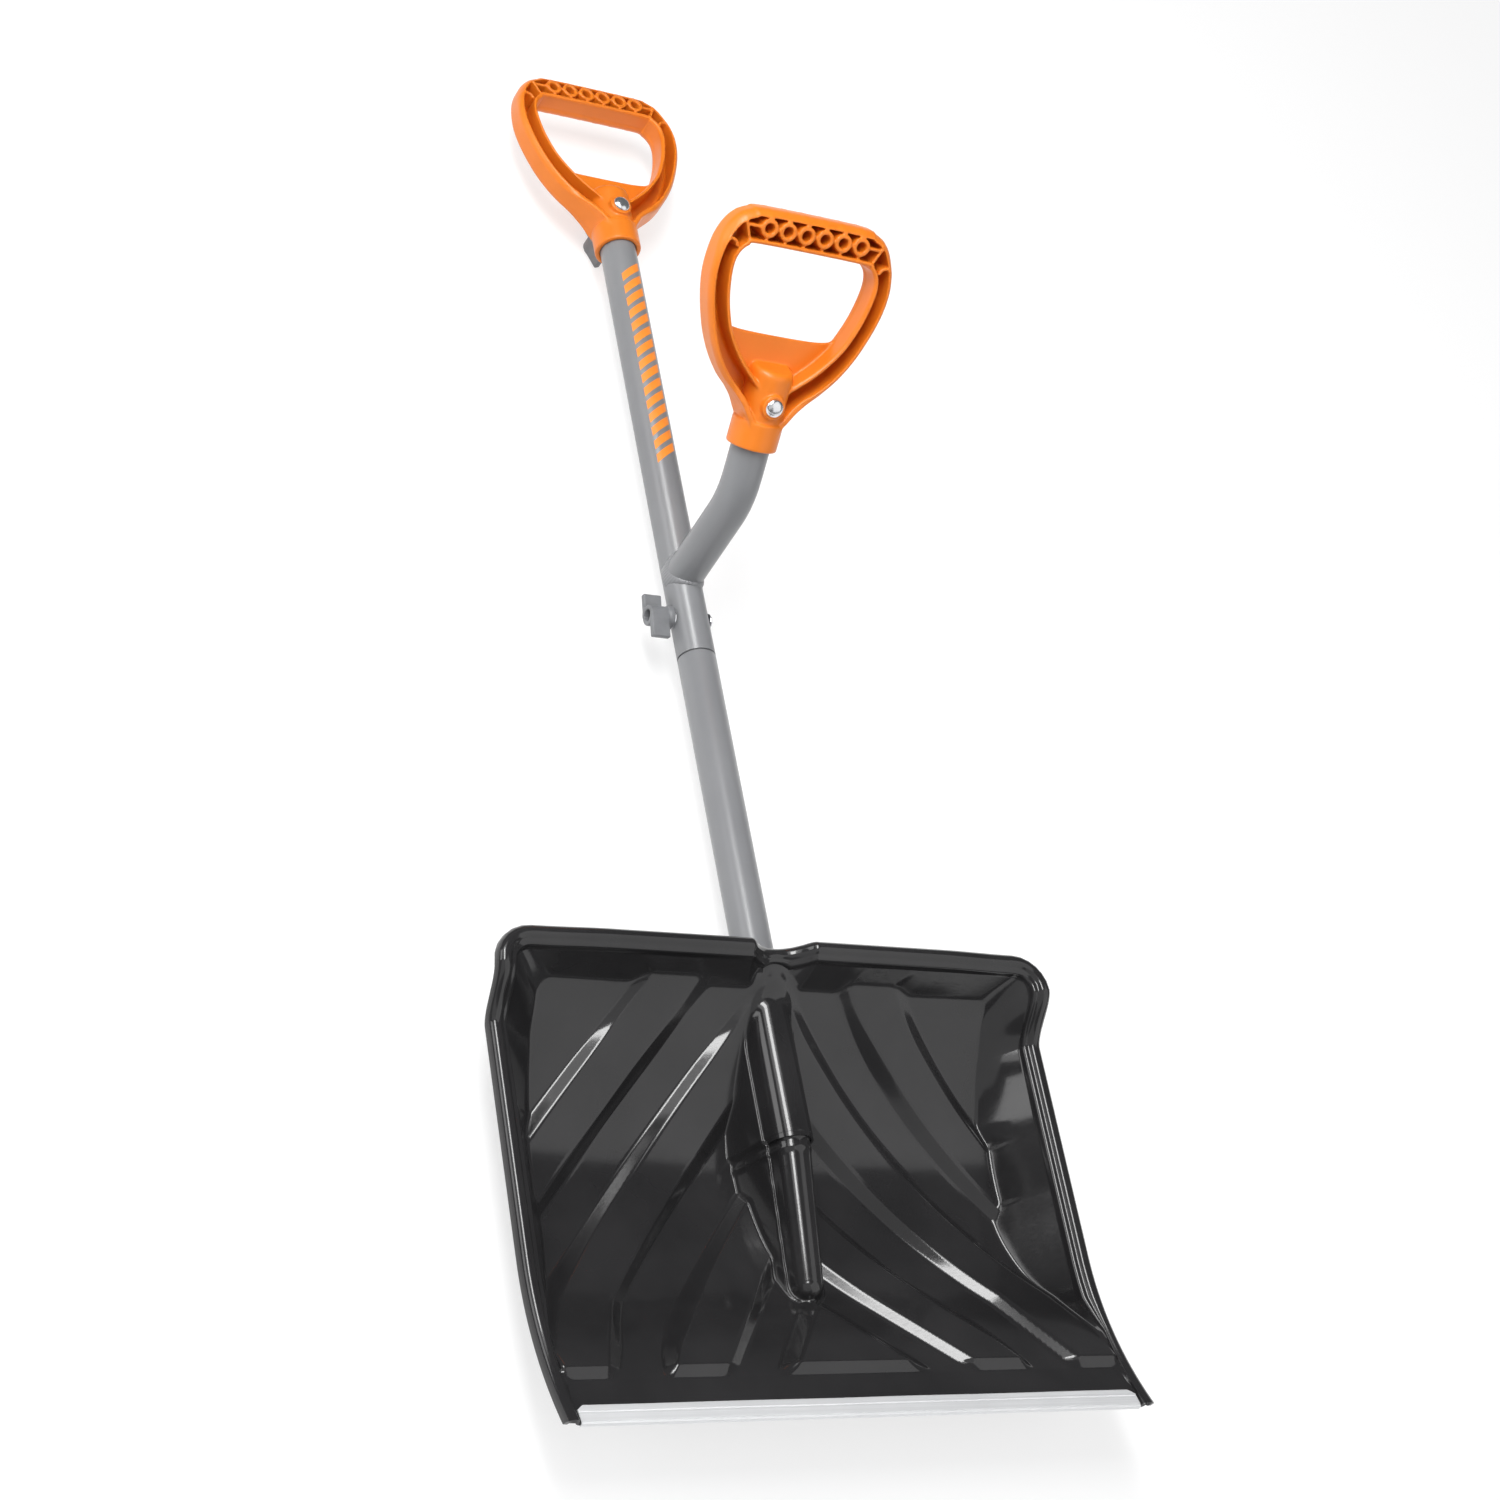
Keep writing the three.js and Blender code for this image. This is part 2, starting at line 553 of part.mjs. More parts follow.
const flatWasher = () => turned([[bolt.hole, 0], [washer.radius, 0], [washer.radius, washer.thickness],
  [bolt.hole, washer.thickness], [bolt.hole, 0]], 24);

// A wing knob: its base at y = 0, its outer face at y = height. The bolt's end shows in its bore.
function wingKnob(turn) {
  const { base, baseHeight, neckHeight, height, bossRadius, chamfer, bore, boreFrom } = knob;
  const { wingSpan, wingThickness, wingOut, wingFrom, wingCorner } = knob;
  let body = turned([
    [0, 0], [base - chamfer, 0], [base, chamfer], [base, baseHeight], [bossRadius, neckHeight],
    [bossRadius, height - chamfer], [bossRadius - chamfer, height], [0, height],
  ], 28);
  const top = height - wingFrom;
  const outline = [[0, 0], [wingSpan - wingCorner, 0], [wingSpan, wingCorner],
    [wingSpan, top - wingCorner], [wingSpan - wingCorner, top], [0, top]];
  for (const side of [0, Math.PI]) {
    const shape = new THREE.Shape(outline.map(([x, y]) => new THREE.Vector2(x, y)));
    const wing = new THREE.ExtrudeGeometry(shape, { depth: wingThickness, bevelEnabled: false });
    wing.translate(0, wingFrom, -wingOut).rotateY(radians(turn) + side);
    body = body.add(solid(wing));
  }
  return body.subtract(bar('y', bore, boreFrom, height + 1, [0, 0, 0], 24))
    .subtract(bar('y', insert.radius + gap, -1, insert.height + insert.from, [0, 0, 0], 6));
}

// A hexagonal nut on the bolt's shank.
const hexNut = (radius, from, to) => bar('y', radius, from, to, [0, 0, 0], 6)
  .subtract(bar('y', bolt.shank + threadClearance, from - 1, to + 1, [0, 0, 0], 16));
const knobInsert = () => hexNut(insert.radius, insert.from, insert.height);

// ---- assembly ----
piece('blade', blade(), looks.blade);
piece('wear_strip', wearStrip(), looks.strip);
piece('lower_tube', lowerTube(), looks.tube);
piece('upper_tube', upperTube(), looks.tube);
piece('aux_tube', auxTube(), looks.tube);
piece('aux_weld', auxWeld(), looks.tube);

const bladeScrew = turned([
  [0, 0], [screw.shank, 0], [screw.shank, screw.length], [screw.head, screw.length + 0.2],
  [screw.head - 0.4, screw.length + 1.6], [screw.head / 2, screw.length + screw.headHeight - 0.2],
  [0, screw.length + screw.headHeight],
], 24);
const screwMesh = piece('blade_screw', bladeScrew, looks.bolt);
screwMesh.rotation.x = -Math.PI / 2;
screwMesh.position.set(0, screw.y, -socket.radius + screw.sink);

// A clamping bolt and its wing knob or nut, on a seat of that radius, in a group whose +Y
// points from the head's side to the nut's side.
function clampSet(prefix, seat, parent) {
  const nutSeat = seat + gap + washer.thickness + gap;
  const body = solid(geometryOf(carriageBolt(seat + nutSeat + bolt.beyond)).rotateX(Math.PI));
  piece(`${prefix}_bolt`, body, looks.bolt, parent).position.y = -seat - gap;
  piece(`${prefix}_washer`, flatWasher(), looks.bolt, parent).position.y = seat + gap;
  return nutSeat;
}

const midSet = new THREE.Group();
midSet.position.y = midBoltY;
midSet.rotation.z = Math.PI / 2;
shovel.add(midSet);
const midKnobY = clampSet('mid', tubeRadius, midSet);
piece('mid_knob', wingKnob(knob.midTurn), looks.knob, midSet).position.y = midKnobY;
piece('mid_knob_insert', knobInsert(), looks.bolt, midSet).position.y = midKnobY;

const topSet = new THREE.Group();
topSet.position.y = topGripY;
topSet.rotation.x = -Math.PI / 2;
shovel.add(topSet);
piece('top_grip', gripBody(), looks.grip).position.y = topGripY;
const topKnobY = clampSet('top', grip.collarRadius, topSet);
piece('top_knob', wingKnob(knob.topTurn), looks.knob, topSet).position.y = topKnobY;
piece('top_knob_insert', knobInsert(), looks.bolt, topSet).position.y = topKnobY;

const auxSet = new THREE.Group();
auxSet.position.set(0, auxGrip.y, auxGrip.z);
auxSet.rotation.x = auxGrip.tilt;
shovel.add(auxSet);
piece('aux_grip', gripBody(), looks.grip, auxSet);
const auxBolts = new THREE.Group();
auxBolts.rotation.x = -Math.PI / 2;
auxSet.add(auxBolts);
const auxNutY = clampSet('aux', grip.collarRadius, auxBolts);
piece('aux_nut', hexNut(nut.radius, 0, nut.height), looks.bolt, auxBolts).position.y = auxNutY;

// Stand the shovel on the ground, centred over the origin.
shovel.updateMatrixWorld(true);
const extent = new THREE.Box3().setFromObject(shovel, true);
shovel.position.set(0, -(extent.min.y + extent.max.y) / 2, -extent.min.z);

const model = new THREE.Group();
model.add(shovel);
export default model;
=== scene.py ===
"""A double-handled snow shovel lying on its back: moulded scoop blade with a metal wear strip, a
two-piece tube shaft, a D-grip on top and a second D-grip on a bent branch tube.

Pieces are worked out in millimetres in the shaft's own frame (x across, y along the shaft, z out of
the blade's open side, zero on the shaft's centre line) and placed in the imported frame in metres."""
import math

import bpy
import numpy as np
from mathutils import Matrix, Vector


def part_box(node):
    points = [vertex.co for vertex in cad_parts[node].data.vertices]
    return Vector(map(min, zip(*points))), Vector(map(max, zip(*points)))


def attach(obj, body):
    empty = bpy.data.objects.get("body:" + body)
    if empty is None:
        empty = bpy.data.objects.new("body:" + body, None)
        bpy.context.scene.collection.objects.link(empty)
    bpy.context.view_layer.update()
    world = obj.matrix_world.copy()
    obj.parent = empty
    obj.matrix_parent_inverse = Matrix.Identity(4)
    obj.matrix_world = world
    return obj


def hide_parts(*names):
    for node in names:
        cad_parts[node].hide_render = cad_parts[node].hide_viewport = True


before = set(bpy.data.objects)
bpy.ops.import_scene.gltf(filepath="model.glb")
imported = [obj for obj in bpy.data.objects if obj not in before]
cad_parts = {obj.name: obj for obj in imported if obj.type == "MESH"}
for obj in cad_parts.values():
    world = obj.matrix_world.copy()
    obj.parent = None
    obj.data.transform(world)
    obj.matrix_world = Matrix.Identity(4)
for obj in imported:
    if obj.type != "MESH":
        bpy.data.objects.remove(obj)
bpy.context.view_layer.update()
MM = 0.001

# ---------------------------------------------------------------- places taken from the frame
SEAM = 232.0                                   # where the upper tube starts, along the shaft
upper_low, upper_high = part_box("upper_tube")
SHAFT_Y = upper_low.y / MM - SEAM              # row y of the shaft frame's zero
SHAFT_Z = (upper_low.z + upper_high.z) / 2 / MM
TUBE_RADIUS = (upper_high.x - upper_low.x) / 2 / MM
TUBE_WALL = 1.2
MID_BOLT, TOP_BOLT = (sum(corner.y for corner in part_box(name)) / 2 / MM - SHAFT_Y
                      for name in ("mid_washer", "top_washer"))

TO_ROW = Matrix.Translation((0, SHAFT_Y * MM, SHAFT_Z * MM)) @ Matrix.Scale(MM, 4)

# the second grip's bolt and lean
AUX_TILT = math.radians(53.4)
AUX_BOLT = Vector((0, 363.9, 163.7))
TOP_PLACE = Matrix.Translation((0, TOP_BOLT, 0))
AUX_PLACE = Matrix.Translation(AUX_BOLT) @ Matrix.Rotation(AUX_TILT, 4, "X")


# ---------------------------------------------------------------- small tools
def new_piece(name, points, faces, material, body="shovel", replaces=(), place=Matrix()):
    """A smooth-shaded mesh from points in millimetres, put in the frame and riding on a body."""
    mesh = bpy.data.meshes.new(name)
    mesh.from_pydata([tuple(p) for p in points], [], [tuple(f) for f in faces])
    mesh.transform(TO_ROW @ place)
    mesh.validate()
    mesh.shade_smooth()
    piece = bpy.data.objects.new(name, mesh)
    bpy.context.scene.collection.objects.link(piece)
    piece.data.materials.append(material)
    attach(piece, body)
    if replaces:
        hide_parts(*replaces)
    return piece


def sharpen(piece, degrees):
    """Keeps creases crisp where faces meet at more than this angle."""
    piece.data.set_sharp_from_angle(angle=math.radians(degrees))


def smooth_step(t):
    """Rises from 0 to 1 as t does, level at both ends."""
    t = np.clip(t, 0, 1)
    return t * t * (3 - 2 * t)


def soft_max(a, b, k):
    """The larger of two heights, with a fillet about k wide where they meet."""
    h = np.clip(k - np.abs(a - b), 0, None)
    return np.maximum(a, b) + h * h / (4 * k)


def soft_min(a, b, k):
    """The smaller of two heights, filleted like soft_max."""
    return -soft_max(-a, -b, k)


def turned(profile, sides):
    """Points and faces of a profile of (radius, height) turned about +Z. It closes on itself."""
    angles = np.linspace(0, 2 * math.pi, sides, endpoint=False)
    points = [(r * math.cos(a), r * math.sin(a), h) for a in angles for r, h in profile]
    n = len(profile)
    faces = []
    for i in range(sides):
        for j in range(n):
            k, nxt = (j + 1) % n, (i + 1) % sides
            faces.append((i * n + j, nxt * n + j, nxt * n + k, i * n + k))
    return points, faces


def curve_at(start, corner, end, t):
    """A point on the curve that leaves `start` towards `corner` and reaches `end`."""
    return (1 - t) ** 2 * start + 2 * t * (1 - t) * corner + t * t * end


def rounded(corners, radius, steps):
    """A closed outline of (x, y) corners with each corner turned into an arc."""
    out = []
    n = len(corners)
    for i, corner in enumerate(corners):
        p, a, b = (np.array(c, float) for c in (corner, corners[i - 1], corners[(i + 1) % n]))
        to_a, to_b = (a - p), (b - p)
        cut = min(radius, 0.45 * np.linalg.norm(to_a), 0.45 * np.linalg.norm(to_b))
        start = p + to_a / np.linalg.norm(to_a) * cut
        end = p + to_b / np.linalg.norm(to_b) * cut
        for s in range(steps + 1):
            out.append(tuple(curve_at(start, p, end, s / steps)))
    return out


# ---------------------------------------------------------------- solids from distance fields
def surface_net(field):
    """Vertices, counted in samples, and quads on the zero surface of a distance field that is
    negative inside."""
    cells = tuple(n - 1 for n in field.shape)
    total, count = np.zeros(cells + (3,)), np.zeros(cells)
    crossings = []
    for axis in range(3):
        others = [a for a in range(3) if a != axis]
        values = np.moveaxis(field, axis, 0)
        a, b = values[:-1], values[1:]
        cross = (a < 0) != (b < 0)
        share = np.where(cross, a / np.where(cross, a - b, 1), 0)
        crossings.append((cross, a < 0))
        at = np.meshgrid(*[np.arange(n, dtype=float) for n in cross.shape], indexing="ij")
        at[0] = at[0] + share
        total_view = np.moveaxis(total, axis, 0)
        count_view = np.moveaxis(count, axis, 0)
        for dj in (0, 1):
            for dk in (0, 1):
                part = (slice(None), slice(dj, dj + cells[others[0]]),
                        slice(dk, dk + cells[others[1]]))
                hit = cross[part]
                count_view += hit
                for place, coordinate in zip([axis] + others, at):
                    total_view[..., place] += np.where(hit, coordinate[part], 0)
    active = count > 0
    ids = np.full(cells, -1)
    ids[active] = np.arange(active.sum())
    points = total[active] / count[active][:, None]
    quads = []
    for axis in range(3):
        cross, rising = crossings[axis]
        view = np.moveaxis(ids, axis, 0)
        inner = cross[:, 1:-1, 1:-1]
        up = rising[:, 1:-1, 1:-1]
        i, j, k = np.nonzero(inner)
        corner = [view[i, j, k], view[i, j + 1, k], view[i, j + 1, k + 1], view[i, j, k + 1]]
        quad = np.stack(corner, 1)
        flip = up[i, j, k] == (axis == 1)
        quad[flip] = quad[flip][:, ::-1]
        quads.append(quad)
    return points, np.concatenate(quads)


def settle(points, field, rounds=2):
    """Moves vertices onto the zero surface, reading the sampled field between its samples."""
    gradient = np.gradient(field)
    top = np.array(field.shape) - 1.001
    g = points.copy()
    for _ in range(rounds):
        base = np.floor(g).astype(int)
        f = g - base
        value, slope = np.zeros(len(g)), np.zeros((len(g), 3))
        for dx in (0, 1):
            for dy in (0, 1):
                for dz in (0, 1):
                    w = (np.where(dx, f[:, 0], 1 - f[:, 0]) * np.where(dy, f[:, 1], 1 - f[:, 1])
                         * np.where(dz, f[:, 2], 1 - f[:, 2]))
                    at = (base[:, 0] + dx, base[:, 1] + dy, base[:, 2] + dz)
                    value += w * field[at]
                    for c in range(3):
                        slope[:, c] += w * gradient[c][at]
        square = np.maximum((slope ** 2).sum(1), 0.05)
        move = np.clip(value / square, -0.6, 0.6)[:, None] * slope
        g = np.clip(g - 0.8 * move, 0, top)
    return g


def from_field(distance, low, high, step):
    """Mesh of a solid given as a distance function of x, y, z arrays."""
    axes = [np.arange(a, b + step, step) for a, b in zip(low, high)]
    x, y, z = np.meshgrid(*axes, indexing="ij", sparse=True)
    field = np.broadcast_to(distance(x, y, z), [len(a) for a in axes]).astype(float)
    points, quads = surface_net(field)
    return settle(points, field) * step + np.array(low), quads


def outline_distance(corners, x, y):
    """Signed distance from points to a closed outline, negative inside."""
    shape = np.broadcast(x, y).shape
    px, py = (np.broadcast_to(v, shape).ravel() for v in (x, y))
    best, inside = np.full(px.shape, 1e18), np.zeros(px.shape, bool)
    for (ax, ay), (bx, by) in zip(corners, np.roll(corners, -1, axis=0)):
        ex, ey = bx - ax, by - ay
        t = np.clip(((px - ax) * ex + (py - ay) * ey) / max(ex * ex + ey * ey, 1e-12), 0, 1)
        best = np.minimum(best, (px - ax - t * ex) ** 2 + (py - ay - t * ey) ** 2)
        if ay != by:
            over = (ay > py) != (by > py)
            inside ^= over & (px < (bx - ax) * (py - ay) / (by - ay) + ax)
    return (np.sqrt(best) * np.where(inside, -1, 1)).reshape(shape)


def mirrored_spline(right, samples=14):
    """A closed smooth outline through right-hand points and their mirror images."""
    points = np.array(list(right) + [(-x, y) for x, y in reversed(right)], float)
    n, out = len(points), []
    for i in range(n):
        a, b, c, d = (points[(i + k) % n] for k in (-1, 0, 1, 2))
        for t in np.linspace(0, 1, samples, endpoint=False):
            out.append(0.5 * (2 * b + (c - a) * t + (2 * a - 5 * b + 4 * c - d) * t ** 2
                              + (3 * b - a - 3 * c + d) * t ** 3))
    return np.array(out)


def slab(flat, z, low, high, round_by):
    """A flat outline's distance raised from low to high, with its edges rounded."""
    across = flat + round_by
    along = np.abs(z - (low + high) / 2) - (high - low) / 2 + round_by
    outer = np.sqrt(np.maximum(across, 0) ** 2 + np.maximum(along, 0) ** 2)
    return np.minimum(np.maximum(across, along), 0) + outer - round_by


# ---------------------------------------------------------------- materials
def material(name, colour, roughness, metallic=0.0, **settings):
    """A material whose plain values sit on its shader's own sockets."""
    made = bpy.data.materials.new(name)
    made.use_nodes = True
    shader = made.node_tree.nodes["Principled BSDF"]
    shader.inputs["Base Color"].default_value = (*colour, 1)
    shader.inputs["Roughness"].default_value = roughness
    shader.inputs["Metallic"].default_value = metallic
    for socket, value in settings.items():
        shader.inputs[socket.replace("_", " ")].default_value = value
    return made


def node(made, kind, **settings):
    new = made.node_tree.nodes.new(kind)
    for name, value in settings.items():
        if name in new.inputs:
            new.inputs[name].default_value = value
        else:
            setattr(new, name, value)
    return new


def link(made, source, target):
    made.node_tree.links.new(source, target)


def feed(made, socket, output):
    """Puts a texture's output on one of the shader's sockets."""
    link(made, output, made.node_tree.nodes["Principled BSDF"].inputs[socket])


def coordinates(made, scale=(1, 1, 1)):
    place = node(made, "ShaderNodeMapping")
    place.inputs["Scale"].default_value = scale
    link(made, node(made, "ShaderNodeTexCoord").outputs["Object"], place.inputs["Vector"])
    return place.outputs["Vector"]


def noise(made, vector, scale, detail, rough=0.5):
    made_noise = node(made, "ShaderNodeTexNoise", Scale=scale, Detail=detail, Roughness=rough)
    link(made, vector, made_noise.inputs["Vector"])
    return made_noise.outputs["Fac"]


def ranged(made, value, low, high, from_low=0.0, from_high=1.0):
    """A value spread from its own range onto low to high, and held at both ends."""
    spread = node(made, "ShaderNodeMapRange")
    ends = {"From Min": from_low, "From Max": from_high, "To Min": low, "To Max": high}
    for socket, number in ends.items():
        spread.inputs[socket].default_value = number
    link(made, value, spread.inputs["Value"])
    return spread.outputs["Result"]


def bumped(made, heights):
    """Adds bumps of (height output, strength, distance in metres), one on another."""
    last = None
    for height, strength, distance in heights:
        bump = node(made, "ShaderNodeBump", Strength=strength, Distance=distance)
        link(made, height, bump.inputs["Height"])
        if last:
            link(made, last, bump.inputs["Normal"])
        last = bump.outputs["Normal"]
    feed(made, "Normal", last)


def mixed(made, share, first, second):
    """Colour mix of two colours by a share; a colour is a tuple or an output."""
    mix = node(made, "ShaderNodeMix", data_type="RGBA")
    link(made, share, mix.inputs[0])
    for socket, colour in ((mix.inputs[6], first), (mix.inputs[7], second)):
        if isinstance(colour, tuple):
            socket.default_value = (*colour, 1)
        else:
            link(made, colour, socket)
    return mix.outputs[2]


def black_plastic():
    """Glossy black moulding: faint waviness, fine speckle, and hair scratches in the gloss."""
    made = material("black_plastic", (0.0125, 0.0122, 0.0128), 0.13)
    here = coordinates(made)
    cloud = noise(made, here, 14, 3)
    speck = noise(made, here, 900, 2)
    dark, light = (0.0135, 0.0132, 0.0138), (0.0195, 0.0190, 0.0198)
    feed(made, "Base Color", mixed(made, ranged(made, cloud, 0, 1, 0.35, 0.65), dark, light))
    scuff = noise(made, coordinates(made, (30, 260, 60)), 4, 4, 0.7)
    feed(made, "Roughness", ranged(made, scuff, 0.1, 0.2, 0.45, 0.75))
    bumped(made, [(noise(made, here, 22, 2), 0.10, 0.0008), (speck, 0.05, 0.00005)])
    return made


def orange_plastic():
    """Satin orange moulding with a fine grain."""
    made = material("orange_plastic", (0.71, 0.178, 0.010), 0.36, Specular_IOR_Level=0.4)
    here = coordinates(made)
    cloud = noise(made, here, 30, 3)
    deep, bright = (0.68, 0.168, 0.008), (0.74, 0.190, 0.013)
    feed(made, "Base Color", mixed(made, ranged(made, cloud, 0, 1, 0.3, 0.7), deep, bright))
    feed(made, "Roughness", ranged(made, noise(made, here, 120, 4), 0.31, 0.42))
    grain, waves = noise(made, here, 700, 3), noise(made, here, 60, 2)
    bumped(made, [(grain, 0.12, 0.00006), (waves, 0.12, 0.0003)])
    return made


def grey_paint():
    """Powder coat on the tubes: slight clouds of tone, faint orange peel."""
    made = material("grey_paint", (0.195, 0.198, 0.206), 0.30)
    here = coordinates(made)
    cloud = noise(made, here, 12, 4)
    dark, light = (0.184, 0.187, 0.195), (0.208, 0.212, 0.219)
    feed(made, "Base Color", mixed(made, ranged(made, cloud, 0, 1, 0.3, 0.7), dark, light))
    feed(made, "Roughness", ranged(made, noise(made, here, 45, 4), 0.27, 0.33))
    peel, waves = noise(made, here, 420, 2), noise(made, here, 90, 2)
    bumped(made, [(peel, 0.16, 0.00008), (waves, 0.10, 0.0002)])
    return made


def knob_plastic():
    """Dull dark grey moulding."""
    made = material("knob_plastic", (0.168, 0.172, 0.18), 0.45)
    here = coordinates(made)
    cloud = ranged(made, noise(made, here, 80, 3), 0, 1, 0.3, 0.7)
    feed(made, "Base Color", mixed(made, cloud, (0.150, 0.154, 0.162), (0.185, 0.19, 0.198)))
    feed(made, "Roughness", ranged(made, noise(made, here, 200, 3), 0.38, 0.52))
    bumped(made, [(noise(made, here, 900, 2), 0.2, 0.00006)])
    return made


def strip_metal():
    """Galvanised sheet, brushed along its length, with small scrapes."""
    made = material("strip_metal", (0.78, 0.79, 0.80), 0.40, 0.45)
    grain = noise(made, coordinates(made, (4, 1400, 1400)), 1, 4, 0.6)
    cloud = noise(made, coordinates(made), 26, 4)
    brushed = ranged(made, grain, 0, 1, 0.3, 0.7)
    tone = mixed(made, brushed, (0.72, 0.73, 0.74), (0.84, 0.85, 0.86))
    scraped = ranged(made, cloud, 0, 0.35, 0.35, 0.7)
    feed(made, "Base Color", mixed(made, scraped, tone, (0.66, 0.67, 0.68)))
    feed(made, "Roughness", ranged(made, grain, 0.34, 0.48))
    bumped(made, [(grain, 0.15, 0.00005)])
    return made


def zinc_metal():
    """Bright plating on the fasteners, a little clouded."""
    made = material("zinc_metal", (0.72, 0.73, 0.75), 0.2, 1.0)
    cloud = noise(made, coordinates(made), 260, 3)
    feed(made, "Base Color", mixed(made, cloud, (0.62, 0.63, 0.66), (0.82, 0.82, 0.83)))
    feed(made, "Roughness", ranged(made, cloud, 0.14, 0.3))
    bumped(made, [(cloud, 0.1, 0.00006)])
    return made


def print_ink():
    """Orange screen print on the upper tube."""
    made = material("print_ink", (0.86, 0.25, 0.02), 0.42)
    cloud = noise(made, coordinates(made), 300, 3)
    feed(made, "Base Color", mixed(made, cloud, (0.80, 0.22, 0.018), (0.90, 0.27, 0.03)))
    feed(made, "Roughness", ranged(made, cloud, 0.36, 0.5))
    bumped(made, [(cloud, 0.1, 0.00004)])
    return made


BLACK, ORANGE, GREY, PRINT = black_plastic(), orange_plastic(), grey_paint(), print_ink()
KNOB, STRIP, ZINC = knob_plastic(), strip_metal(), zinc_metal()

# ---------------------------------------------------------------- camera, floor and light
FLOOR_RADIUS, FLOOR_SIDES, FLOOR_DROP = 9.0, 96, 0.0006


def look(name, data, location, right, up):
    """An object whose local x and y point right and up, seen from behind its -z."""
    thing = bpy.data.objects.new(name, data)
    right, up = Vector(right).normalized(), Vector(up)
    back = right.cross(up).normalized()
    up = back.cross(right)
    turn = Matrix((right, up, back)).transposed().to_4x4()
    thing.matrix_world = Matrix.Translation(location) @ turn
    bpy.context.scene.collection.objects.link(thing)
    return thing


def set_camera():
    data = bpy.data.cameras.new("camera")
    data.lens, data.sensor_width, data.clip_end = 66.45, 36.0, 50
    location = (-1.0085, -1.0777, 1.6335)
    right, up = (0.8711, -0.1728, 0.4597), (-0.0887, 0.8653, 0.4933)
    camera = look("camera", data, location, right, up)
    bpy.context.scene.camera = camera


def make_floor():
    """A pale disc with a glow of its own, which stays near white and still takes soft shadows."""
    turns = [2 * math.pi * i / FLOOR_SIDES for i in range(FLOOR_SIDES)]
    points = [(0, 0, -FLOOR_DROP)]
    points += [(FLOOR_RADIUS * math.cos(a), FLOOR_RADIUS * math.sin(a), -FLOOR_DROP) for a in turns]
    faces = [(0, 1 + i, 1 + (i + 1) % FLOOR_SIDES) for i in range(FLOOR_SIDES)]
    mesh = bpy.data.meshes.new("floor")
    mesh.from_pydata(points, [], faces)
    floor = bpy.data.objects.new("floor", mesh)
    bpy.context.scene.collection.objects.link(floor)
    pale = material("pale_floor", (0.36, 0.36, 0.36), 0.9, Specular_IOR_Level=0.0,
                    Emission_Color=(1, 1, 1, 1), Emission_Strength=0.68)
    mesh.materials.append(pale)


def set_world():
    """A dim grey studio, seen as a near-white wall past the floor's edge."""
    world = bpy.data.worlds.new("studio")
    world.use_nodes = True
    tree = world.node_tree
    seen = tree.nodes.new("ShaderNodeLightPath")
    mix = tree.nodes.new("ShaderNodeMix")
    mix.data_type = "RGBA"
    mix.inputs[6].default_value = (0.17, 0.17, 0.175, 1)
    mix.inputs[7].default_value = (0.88, 0.88, 0.89, 1)
    tree.links.new(seen.outputs["Is Camera Ray"], mix.inputs[0])
    tree.links.new(mix.outputs[2], tree.nodes["Background"].inputs["Color"])
    bpy.context.scene.world = world
    bpy.context.scene.view_settings.view_transform = "Standard"


def softbox(name, toward, target, distance, size, radiance, turn=0.0):
    """A square or oblong softbox `distance` from its target, in the direction `toward`."""
    data = bpy.data.lights.new(name, "AREA")
    data.shape, (data.size, data.size_y) = "RECTANGLE", size
    data.energy = radiance * math.pi * size[0] * size[1]
    toward = Vector(toward).normalized()
    side = Vector((0, 1, 0)).cross(toward).normalized()
    side = Matrix.Rotation(turn, 3, toward) @ side
    lamp = look(name, data, Vector(target) + toward * distance, side, toward.cross(side))
    lamp.visible_camera = False
    return lamp


def set_lights():
    softbox("key", (-0.36, 0.34, 0.87), (0, -0.47, 0), 2.2, (0.45, 1.5), 15.0)
    # the glow and the left one are there for the gloss, and add little light of their own
    glow = softbox("key_glow", (-0.38, 0.36, 0.85), (0, -0.35, 0), 2.3, (1.3, 1.9), 2.2)
    left = softbox("left", (-0.86, 0.30, 0.42), (0, 0, 0), 2.6, (1.0, 1.6), 3.2)
    glow.data.diffuse_factor = left.data.diffuse_factor = 0.2
    softbox("side", (0.50, -0.48, 0.72), (0, -0.3, 0), 4.6, (5.0, 6.4), 1.0, 0.78)
    # fills shadows from beside the camera without showing in the gloss
    fill = softbox("fill", (-0.46, -0.58, 0.68), (0, 0.1, 0.1), 3.0, (3.0, 3.0), 0.55)
    fill.data.specular_factor = 0.0


set_camera()
make_floor()
set_world()
set_lights()

# ---------------------------------------------------------------- blade
WALL = 3.0
FRONT, LIP, RAMP_TOP, REAR = -389.0, -357.0, -295.6, -64.0
SCOOP_RADIUS, SCOOP_Y, SCOOP_Z = 185.0, -197.0, 146.0
RAMP_SLOPE, LIP_SLOPE = 0.63, 0.465
RIB_HEIGHT, RIB_LEAN, RIB_SIDE, RIB_FADE = 7.5, 0.85, 12.2, -347.8
RIB_EDGES = (110, 59, 12.6, -40, -94, -150, -192)
RIB_SOFT, FADE_SOFT = 0.2, 0.09
FOOT, FOOT_CORNER, FOOT_FLARE, LIP_FLARE = 188.0, 10.0, 27.0, 6.0
CREST, CREST_CORNER, CORNER_FROM = 224.0, 22.0, -101.0
SIDE_CREST, SIDE_GAIN, TIP_FROM, TIP_LENGTH, TIP_RISE = 15.0, 2.0, -270.0, 118.0, 33.0
REAR_RIM_Y, REAR_RIM_Z, CORNER_Z = -43.0, 48.0, 46.0
NOTCH_HALF, NOTCH_DEPTH = 26.5, 15.5
SIDE_FULL_RIM, REAR_FULL_RIM = 22.0, 13.0        # wall heights from which the rim has its full depth
FILLET = 3.0
TURN_START = REAR - FOOT_CORNER

